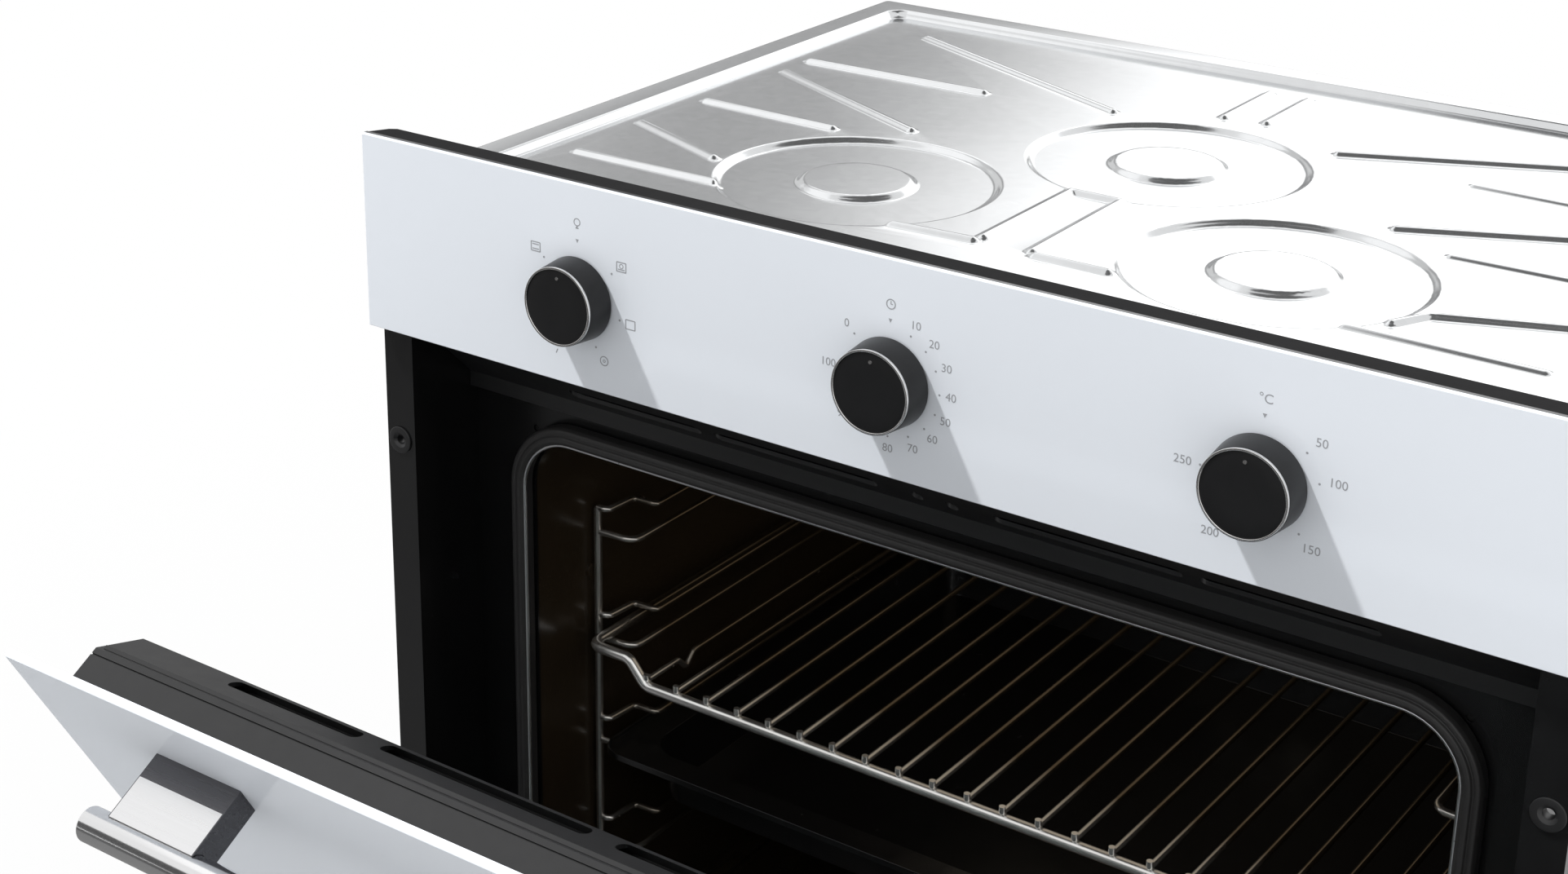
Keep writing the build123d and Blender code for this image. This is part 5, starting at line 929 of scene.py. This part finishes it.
# %% Lift the sheet and fold its edge
cover_mesh = bpy.data.meshes.new("pressed_cover")
with editing(cover_mesh) as shape:
    corners, rim_corner = [], {}
    for p, made_from in zip(coords, origin):
        rim_lifts = [lifts[k] for k in made_from if lifts[k] is not None]
        height = rim_lifts[0] if rim_lifts else relief(p.x, p.y)
        corners.append(shape.verts.new(place(p.x, p.y, COVER_BASE + (COVER_TOP - COVER_BASE) * height)))
        if made_from:
            rim_corner[made_from[0]] = corners[-1]
    for triangle in triangles:
        shape.faces.new([corners[i] for i in triangle])
    above = [rim_corner[i] for i in range(len(outer_ring))]
    bends = [radians(a) for a in (22.5, 45, 67.5, 90)]
    drops = [(FOLD_R * (1 - sin(a)), FOLD_R * (1 - cos(a))) for a in bends]
    for inset, drop in drops + [(0.0, SKIRT * 0.5), (0.0, SKIRT)]:
        line = cover_ring(inset, EDGE_CORNER + FOLD_R - inset)
        below = [shape.verts.new(place(x, d, COVER_TOP - drop)) for x, d in line]
        for i, j in neighbours(len(below)):
            shape.faces.new((above[i], below[i], below[j], above[j]))
        above = below
    bmesh.ops.recalc_face_normals(shape, faces=shape.faces)
    if sum(face.normal.z * face.calc_area() for face in shape.faces) < 0:
        bmesh.ops.reverse_faces(shape, faces=shape.faces)
cover = add_object("pressed_cover", cover_mesh)
sheet = cover.modifiers.new("sheet", "SOLIDIFY")
sheet.thickness, sheet.offset = SHEET / 1000, -1
baked(cover)
shade(cover.data, COVER_SHARP_FROM)
weigh_normals(cover, COVER_WEIGHT)
settle(cover, "galvanised", "housing", "top_cover")
print("cover", len(cover.data.polygons), "faces")

# %% [markdown]
# The seal round the cavity's mouth is a soft profile that runs round a rounded rectangle. One
# closed section is drawn in margin and depth, and it is repeated for each point of the mouth's
# line. A thin bright lip follows its inner edge.

# %% Seal and its lip
MOUTH_CORNER = 28.0
SEAL_FACE = [(1.2, 47.5), (3.4, 46.0), (5.6, 46.4), (6.3, 47.6), (7.2, 47.2), (9.0, 47.4), (10.0, 49.5)]
SEAL_SECTION = rounded([(1.0, 55.6), *SEAL_FACE, (10.0, 55.6)], 1.4, spun=False)
LIP_SECTION = around((0.95, 48.6), 1.05, whole_turn(14))


def round_mouth(name, section):
    """Sweeps a closed (margin, depth) section round the cavity's mouth."""
    rings = []
    for margin, depth in section:
        low = (-CAVITY_HALF - margin, CAVITY_FLOOR - margin)
        high = (CAVITY_HALF + margin, CAVITY_TOP + margin)
        line = soft_rectangle(low, high, MOUTH_CORNER + margin, 12)
        rings.append([place(x, depth, z) for x, z in line])
    return add_object(name, lofted(name, rings, SWEPT_SHARP_FROM))


seal = settle(round_mouth("seal_profile", SEAL_SECTION), "seal_rubber", "housing", "cavity_seal")
lip = settle(round_mouth("seal_lip", LIP_SECTION), "steel", "housing", "cavity_seal", finish="fan_aluminium")
print("seal", len(seal.data.polygons), "lip", len(lip.data.polygons))

# %% [markdown]
# Racks and shelf are all bent wire, and wire is a rule more than a shape: a path with rounded
# corners, a round section, and the same piece again on every level. That is what Geometry Nodes do
# well. One tree rounds the corners, gives the section and repeats the wire along a step. Its start,
# its row of copies and its end come from three helpers, which a second tree will use too.

# %% A tree for bent wires
def new_tree(name, **inputs):
    """A Geometry Nodes tree with named inputs, the sockets of those and the socket that ends it."""
    tree = bpy.data.node_groups.new(name, "GeometryNodeTree")
    for label, kind in inputs.items():
        tree.interface.new_socket(label, in_out="INPUT", socket_type="NodeSocket" + kind)
    tree.interface.new_socket("Made", in_out="OUTPUT", socket_type="NodeSocketGeometry")
    return tree, tree.nodes.new("NodeGroupInput").outputs, tree.nodes.new("NodeGroupOutput").inputs["Made"]


def join(tree, *links):
    """Links pairs of sockets."""
    for source, sink in links:
        tree.links.new(source, sink)


def in_a_row(tree, piece, count, step):
    """Repeats a piece along a step and makes its copies real."""
    row = tree.nodes.new("GeometryNodeMeshLine")
    copies = tree.nodes.new("GeometryNodeInstanceOnPoints")
    real = tree.nodes.new("GeometryNodeRealizeInstances")
    join(
        tree,
        (count, row.inputs["Count"]),
        (step, row.inputs["Offset"]),
        (row.outputs["Mesh"], copies.inputs["Points"]),
        (piece, copies.inputs["Instance"]),
        (copies.outputs["Instances"], real.inputs["Geometry"]),
    )
    return real.outputs["Geometry"]


def end_tree(tree, piece, finish, end):
    """Gives a piece its material and sends it out of the tree."""
    painted = tree.nodes.new("GeometryNodeSetMaterial")
    join(
        tree,
        (piece, painted.inputs["Geometry"]),
        (finish, painted.inputs["Material"]),
        (painted.outputs["Geometry"], end),
    )
    return tree


def put_tree(thing, tree, **values):
    """Puts a tree on an object and sets its inputs by the identifiers of their sockets."""
    modifier = thing.modifiers.new("tree", "NODES")
    modifier.node_group = tree
    for item in tree.interface.items_tree:
        if item.name in values:
            modifier[item.identifier] = values[item.name]


def bent_wire_tree():
    """Geometry Nodes: fillet a path, give it a round section, repeat it."""
    sizes = {"Bend": "Float", "Radius": "Float", "Sides": "Int", "Copies": "Int", "Step": "Vector"}
    tree, given, end = new_tree("bent wire", Path="Geometry", Finish="Material", **sizes)
    fillet = tree.nodes.new("GeometryNodeFilletCurve")
    fillet.mode = "POLY"
    fillet.inputs["Count"].default_value = 6
    fillet.inputs["Limit Radius"].default_value = True
    section = tree.nodes.new("GeometryNodeCurvePrimitiveCircle")
    wire = tree.nodes.new("GeometryNodeCurveToMesh")
    wire.inputs["Fill Caps"].default_value = True
    join(
        tree,
        (given["Path"], fillet.inputs["Curve"]),
        (given["Bend"], fillet.inputs["Radius"]),
        (given["Radius"], section.inputs["Radius"]),
        (given["Sides"], section.inputs["Resolution"]),
        (fillet.outputs["Curve"], wire.inputs["Curve"]),
        (section.outputs["Curve"], wire.inputs["Profile Curve"]),
    )
    row = in_a_row(tree, wire.outputs["Mesh"], given["Copies"], given["Step"])
    return end_tree(tree, row, given["Finish"], end)


wire_tree = bent_wire_tree()


def wires(points, radius, bend, copies=1, step=(0, 0, 0), closed=False, sides=14):
    """The mesh of one bent wire and its copies. Points, radius, bend and step are in millimetres."""
    path = bpy.data.curves.new("path", "CURVE")
    path.dimensions = "3D"
    spline = path.splines.new("POLY")
    spline.points.add(len(points) - 1)
    for point, (x, depth, z) in zip(spline.points, points):
        point.co = (*place(x, depth, z), 1)
    spline.use_cyclic_u = closed
    holder = add_object("path", path)
    sizes = {"Bend": bend / 1000, "Radius": radius / 1000, "Step": [v / 1000 for v in step]}
    put_tree(holder, wire_tree, Sides=sides, Copies=copies, Finish=Finish.made["heated_wire"], **sizes)
    mesh = evaluated(holder)
    bpy.data.objects.remove(holder)
    bpy.data.curves.remove(path)
    return mesh


def settle_wires(name, mesh, body, node):
    """Shades a mesh of wires and hands it to the frame."""
    shade(mesh, SWEPT_SHARP_FROM)
    settle(add_object(name, mesh), "chrome", body, node, finish="heated_wire")


print("wire tree nodes", len(wire_tree.nodes))

# %% [markdown]
# A side rack has two posts and five pairs of rails. The lower rail carries the shelf, the upper
# one keeps it from tipping, and its front end is bent out to a stop. The left rack is the right
# one mirrored, so its faces are turned round again afterwards.

# %% Side racks
RACK_FRONT, RACK_REAR, RACK_BELOW = 101.5, 425.0, 12
RAIL_PAIR, FIRST_STEP, FIRST_RUN = 13.8, 6.4, 20.5
POST_R, RAIL_R = 2.2, 1.8
down = (0, 0, -LEVEL_PITCH)
rack_foot = TOP_RAIL - (LEVELS - 1) * LEVEL_PITCH - RACK_BELOW
upper = TOP_RAIL + RAIL_PAIR
step_x = POST_X - FIRST_STEP
post = [(POST_X, RACK_FRONT, rack_foot), (POST_X, RACK_FRONT, upper)]
support = [
    (POST_X, RACK_FRONT, TOP_RAIL),
    (RAIL_X, RACK_FRONT + 1.5, TOP_RAIL),
    (RAIL_X, RACK_REAR, TOP_RAIL),
    (POST_X, RACK_REAR, TOP_RAIL),
]
guard = [
    (POST_X, RACK_FRONT, upper),
    (step_x, RACK_FRONT, upper),
    (step_x - 1.5, RACK_FRONT + FIRST_RUN, upper),
    (RAIL_X, RACK_FRONT + FIRST_RUN + 0.7, upper),
    (RAIL_X, RACK_REAR, upper),
    (POST_X, RACK_REAR, upper),
]
for side in ("right", "left"):
    parts = [
        wires(post, POST_R, 1, 2, (0, RACK_REAR - RACK_FRONT, 0)),
        wires(support, RAIL_R, 7, LEVELS, down),
        wires(guard, RAIL_R, 3.5, LEVELS, down),
    ]
    rack = one_mesh("wires_" + side, parts)
    if side == "left":
        rack.transform(Matrix.Diagonal((-1, 1, 1, 1)))
        rack.flip_normals()
    settle_wires("wires_" + side, rack, "housing", "rack_" + side)
print("rack faces", len(rack.polygons))

# %% [markdown]
# The shelf is a frame of 6 mm wire, bent down so that its grid hangs between the rails. Nineteen
# straight wires lie on it, and the two outermost have a notch that stops the shelf from being
# pulled out by mistake. In front each wire's end turns up over the frame's bar.

# %% Wire shelf
SHELF_FRONT, SHELF_REAR, SHELF_GAP, SHELF_DROP = 84.5, 431.0, 0.3, 12.7
FRAME_R, WIRE_R, WIRE_PITCH, WELD = 3.0, 1.6, 19.1, 0.5
FRAME_HALF, FRAME_BEND_OUT, FRAME_BEND_IN = 228, 203, 192
runner = TOP_RAIL - LEVEL_PITCH + RAIL_R + SHELF_GAP + FRAME_R
grid = runner - SHELF_DROP
right_half = [(FRAME_HALF, runner), (FRAME_BEND_OUT, runner), (FRAME_BEND_IN, grid)]
bar = right_half + [(-x, z) for x, z in reversed(right_half)]
loop = [(x, SHELF_FRONT, z) for x, z in bar] + [(x, SHELF_REAR, z) for x, z in reversed(bar)]
lie = grid + FRAME_R + WIRE_R - WELD
start, end = SHELF_FRONT - 3.5, SHELF_REAR + 3.5
UPTURN, NOTCH = ((2.4, 3.4), (2.4, 0)), ((30, 0), (37, -7), (44, 0))


def grid_wire(number, bends):
    """A wire of the grid, through (distance from its start, rise) bends to the back."""
    x = number * WIRE_PITCH
    return [(x, start + distance, lie + rise) for distance, rise in bends] + [(x, end, lie)]


parts = [
    wires(loop, FRAME_R, 7, closed=True, sides=18),
    wires(grid_wire(-9, UPTURN), WIRE_R, 1, 19, (WIRE_PITCH, 0, 0)),
    wires(grid_wire(-10, UPTURN + NOTCH), WIRE_R, 2.5, 2, (20 * WIRE_PITCH, 0, 0)),
]
shelf = one_mesh("shelf_wires", parts)
settle_wires("shelf_wires", shelf, "shelf", "wire_shelf")
print("shelf faces", len(shelf.polygons))

# %% [markdown]
# Each flange has two bushes for the screws into the cabinet. They sit on a grid of two by two, so
# a second small tree instances one turned bush on it, first across and then up.

# %% Flange bushes
BUSH_X, BUSH_LOW, BUSH_DEPTH, BUSH_RISE = -286.6, 150.0, 8.0, 286.0
BUSH_OUTLINE = [(2.4, 5.0), (2.4, 0.0), (4.0, -1.0), (7.0, -1.0), (7.0, 0.0), (4.2, 0.0), (4.2, 5.0)]


def two_by_two_tree():
    """Geometry Nodes: repeat a mesh twice across and twice up."""
    steps = {"Across": "Vector", "Up": "Vector"}
    tree, given, end = new_tree("two by two", Piece="Geometry", Count="Int", Finish="Material", **steps)
    row = in_a_row(tree, given["Piece"], given["Count"], given["Across"])
    rows = in_a_row(tree, row, given["Count"], given["Up"])
    return end_tree(tree, rows, given["Finish"], end)


bush_centre = place(BUSH_X, BUSH_DEPTH, BUSH_LOW)
bush = add_object("bushes", turned("bushes", rounded(BUSH_OUTLINE, 0.3, 3), bush_centre, INWARD, 48))
bush_steps = {"Across": (-2 * BUSH_X / 1000, 0, 0), "Up": (0, 0, BUSH_RISE / 1000)}
put_tree(bush, two_by_two_tree(), Count=2, Finish=Finish.made[slot_of["flange_bushes"]], **bush_steps)
baked(bush)
shade(bush.data, SHARP_FROM)
settle(bush, slot_of["flange_bushes"], "housing", "flange_bushes")
print("bushes", len(bush.data.polygons), "faces")

# %% [markdown]
# The handle's bar is turned from aluminium tube. It is made where it lies with the door closed and
# then swung open about the hinge line with the door's matrix. The lamp's glass is turned too,
# so that it stays round from close by.

# %% Handle bar and lamp glass
HANDLE_HEIGHT, HANDLE_HALF, HANDLE_DEPTH, BAR_R = 451.5, 236.0, -37.0, 7.97
bar_outline = rounded([(0, -HANDLE_HALF), (BAR_R, -HANDLE_HALF), (BAR_R, HANDLE_HALF), (0, HANDLE_HALF)], 0.8)
bar_mesh = turned("handle_tube", bar_outline, place(0, HANDLE_DEPTH, HANDLE_HEIGHT), ACROSS, 96)
bar_mesh.transform(swing_open)
settle(add_object("handle_tube", bar_mesh), "handle_metal", "door", "handle_bar")

LAMP_X, LAMP_HEIGHT, LAMP_FOOT, LAMP_COLLAR = -200.0, 400.0, 464.5, 4
LAMP_R, LAMP_INNER_R = 18.5, 16.5


def dome(radius):
    """A quarter round in (radius, distance), from the glass's collar to its tip."""
    angles = [radians(90 - 9 * i) for i in range(11)]
    return [(radius * sin(a), -LAMP_COLLAR - radius * cos(a)) for a in angles]


glass_outline = [(LAMP_R, 0), *dome(LAMP_R), *reversed(dome(LAMP_INNER_R)), (LAMP_INNER_R, 0)]
lamp = turned("lamp_dome", glass_outline, place(LAMP_X, LAMP_FOOT, LAMP_HEIGHT), INWARD, 48)
settle(add_object("lamp_dome", lamp), "clear_glass", "housing", "lamp_glass")
print("bar", len(bar_mesh.polygons), "lamp", len(lamp.polygons))

# %% [markdown]
# The studio is a pale floor, a lamp from the left and the even light of a white room. The
# background is white to the camera and in reflections only, by the kind of ray, so it adds no
# light to the oven. Near the oven the floor keeps its shadow. Further out it turns plain white, as
# a floor does when a photograph is cut out.

# %% Floor
FLOOR_Z, FLOOR_NEAR, FLOOR_FAR, SHADOW_TO, WHITE_FROM = -0.0006, 0.74, 1.0, 0.55, 1.3
WHITE = (1, 1, 1, 1)


def light_nodes(owner):
    """An empty node tree for something that glows, and a helper that adds linked nodes to it."""
    owner.use_nodes = True
    tree = owner.node_tree
    tree.nodes.clear()

    def add(kind, inputs=(), output=0, **settings):
        node = tree.nodes.new(kind)
        for key, value in settings.items():
            setattr(node, key, value)
        for key, value in dict(inputs).items():
            if isinstance(value, bpy.types.NodeSocket):
                tree.links.new(value, node.inputs[key])
            else:
                node.inputs[key].default_value = value
        return node.outputs[output] if len(node.outputs) else node

    return add


def four_corners(name, corners):
    """An object with one face."""
    mesh = bpy.data.meshes.new(name)
    mesh.from_pydata(corners, [], [(0, 1, 2, 3)])
    return add_object(name, mesh)


floor = four_corners("floor", [(-6, -6, FLOOR_Z), (6, -6, FLOOR_Z), (6, 8, FLOOR_Z), (-6, 8, FLOOR_Z)])
floor_finish = bpy.data.materials.new("floor_white")
add = light_nodes(floor_finish)
spot = add("ShaderNodeTexCoord", output="Object")
away = add("ShaderNodeVectorMath", {0: spot}, "Value", operation="LENGTH")
places = {"Value": away, "From Min": SHADOW_TO, "From Max": WHITE_FROM}
fade = add("ShaderNodeMapRange", {**places, "To Min": FLOOR_NEAR, "To Max": FLOOR_FAR})
camera_ray = add("ShaderNodeLightPath", output="Is Camera Ray")
white_share = add("ShaderNodeMath", {0: camera_ray, 1: fade}, operation="MULTIPLY")
paint = add("ShaderNodeBsdfDiffuse", {"Color": (0.55, 0.55, 0.55, 1)})
white = add("ShaderNodeEmission", {"Strength": 1.0})
mixed = add("ShaderNodeMixShader", {0: white_share, 1: paint, 2: white})
add("ShaderNodeOutputMaterial", {"Surface": mixed})
floor.data.materials.append(floor_finish)
print("floor", FLOOR_NEAR)

# %% [markdown]
# The room is the same all round, and a single lamp from the left gives the shadows their side.
# The lamp isn't seen in shiny surfaces, since a studio's lamp stands behind a large cloth. A small
# warm lamp hangs in the cavity, where such an oven has its own, so the wires stand out from the
# enamel.

# %% Room and lamps
ROOM_LIGHT, KEY_LIGHT, INNER_LIGHT = 0.71, 3.95, 0.10
world = bpy.data.worlds.new("room")
scene.world = world
add = light_nodes(world)
camera_ray, glossy_ray, through_ray = (
    add("ShaderNodeLightPath", output=f"Is {kind} Ray") for kind in ("Camera", "Glossy", "Transmission")
)
seen = add("ShaderNodeMath", {0: camera_ray, 1: glossy_ray}, operation="MAXIMUM")
seen_too = add("ShaderNodeMath", {0: seen, 1: through_ray}, operation="MAXIMUM")
plain = add("ShaderNodeBackground", {"Color": WHITE, "Strength": ROOM_LIGHT})
white = add("ShaderNodeBackground", {"Color": WHITE, "Strength": 1.0})
mixed = add("ShaderNodeMixShader", {0: seen_too, 1: plain, 2: white})
add("ShaderNodeOutputWorld", {"Surface": mixed})


def lamp_at(name, kind, energy, middle, towards, **settings):
    """A lamp at a place, that shines against a direction."""
    data = bpy.data.lights.new(name, kind)
    data.energy = energy
    for key, value in settings.items():
        setattr(data, key, value)
    thing = add_object(name, data)
    turned_to = towards.to_track_quat("Z", "Y").to_matrix().to_4x4()
    thing.matrix_world = Matrix.Translation(middle) @ turned_to
    thing.visible_camera = False
    return thing


towards = Vector((-0.486, -0.251, 0.837)).normalized()
key = lamp_at("key", "SUN", KEY_LIGHT, towards * 4, towards, angle=radians(3))
key.visible_glossy = False
warm = {"shape": "SQUARE", "size": 0.30, "color": (1.0, 0.86, 0.68)}
inner = lamp_at("oven_lamp", "AREA", INNER_LIGHT, place(0, 250, 425), UPWARD, **warm)
print("lamps", key.data.energy, inner.data.energy)

# %% [markdown]
# Sheet metal and chrome show what stands round them. Cards that only shiny surfaces see give them
# that. A wide one stands behind the oven, grey at the left and very bright at the right, for the
# top sheet. Dark ones lie on the floor in front, for the knobs, the glass and the bar of the
# handle; the one under the door is a painted shadow of the door on the floor. The rest stand for
# the ceiling's darker and brighter parts, which the same metal shows.

# %% Cards for the reflections
DARK_TONES = ((-1.6, 0.80), (-1.35, 0.60), (-1.0, 0.37), (-0.6, 0.41))
BACK_TONES = DARK_TONES + ((-0.3, 0.80), (-0.05, 1.50), (0.3, 1.80))
BACK_LOW, BACK_HIGH, BACK_FOOT = 0.7, 1.3, 0.12
CEILING, ON_FLOOR = 3.6, 0.001


def card(name, corners, brightness):
    """A card that only shiny surfaces see. Its brightness comes from a function of its nodes."""
    thing = four_corners(name, corners)
    finish = bpy.data.materials.new(name)
    add = light_nodes(finish)
    glow = add("ShaderNodeEmission", {"Color": WHITE, "Strength": brightness(add)})
    add("ShaderNodeOutputMaterial", {"Surface": glow})
    thing.data.materials.append(finish)
    thing.visible_camera = thing.visible_diffuse = thing.visible_shadow = False
    thing.visible_transmission = False


def behind(add):
    """Grey at the left, bright at the right and higher up, and dark along the floor."""
    spot = add("ShaderNodeTexCoord", output="Object")
    across, high = (add("ShaderNodeSeparateXYZ", {0: spot}, axis) for axis in "XZ")
    slant = add("ShaderNodeMath", {0: across, 1: high}, operation="ADD")
    tone = BACK_TONES[0][1]
    for (low, before), (top, after) in zip(BACK_TONES, BACK_TONES[1:]):
        part = {"Value": slant, "From Min": low, "From Max": top, "To Min": 0.0, "To Max": after - before}
        tone = add("ShaderNodeMath", {0: tone, 1: add("ShaderNodeMapRange", part)}, operation="ADD")
    rise = {"Value": high, "From Min": BACK_LOW, "From Max": BACK_HIGH, "To Min": BACK_FOOT, "To Max": 1.0}
    return add("ShaderNodeMath", {0: tone, 1: add("ShaderNodeMapRange", rise)}, operation="MULTIPLY")


def level_card(name, low_x, low_y, high_x, high_y, z, brightness):
    """A card that lies level, on the floor or under the ceiling."""
    corners = [(low_x, low_y, z), (high_x, low_y, z), (high_x, high_y, z), (low_x, high_y, z)]
    card(name, corners, lambda add: brightness)


def upright_card(name, low_x, high_x, y, top, brightness):
    """A card that stands on the floor."""
    card(name, [(low_x, y, 0), (high_x, y, 0), (high_x, y, top), (low_x, y, top)], brightness)


upright_card("card_behind", -7, 2.5, 3.5, CEILING, behind)
upright_card("card_ahead", -9, -1.5, -5, 2.9, lambda add: 0.10)
level_card("card_on_floor_behind", -6.0, 0.5, 2.5, 3.5, ON_FLOOR, 0.28)
level_card("card_in_front", -2.2, -2.8, 0.7, -1.15, ON_FLOOR, 0.12)
level_card("card_far_in_front", -9, -5, -1.2, -2.8, ON_FLOOR, 0.12)
# Painted shadow: this dark card stands for the door's shadow on the floor, seen only in reflections.
level_card("card_under_door", -1.4, -1.15, 0.6, -0.28, ON_FLOOR, 0.25)
level_card("card_overhead", -0.95, -0.4, 1.0, 1.75, CEILING, 0.10)
level_card("card_high_right", 1.1, -2.6, 5.0, -0.5, CEILING, 1.7)
level_card("card_high_left", -3.9, -1.8, -1.6, 1.75, CEILING, 1.3)
level_card("card_far_left", -5.6, 1.75, -2.9, 3.4, CEILING, 0.70)
print("tones behind", len(BACK_TONES))
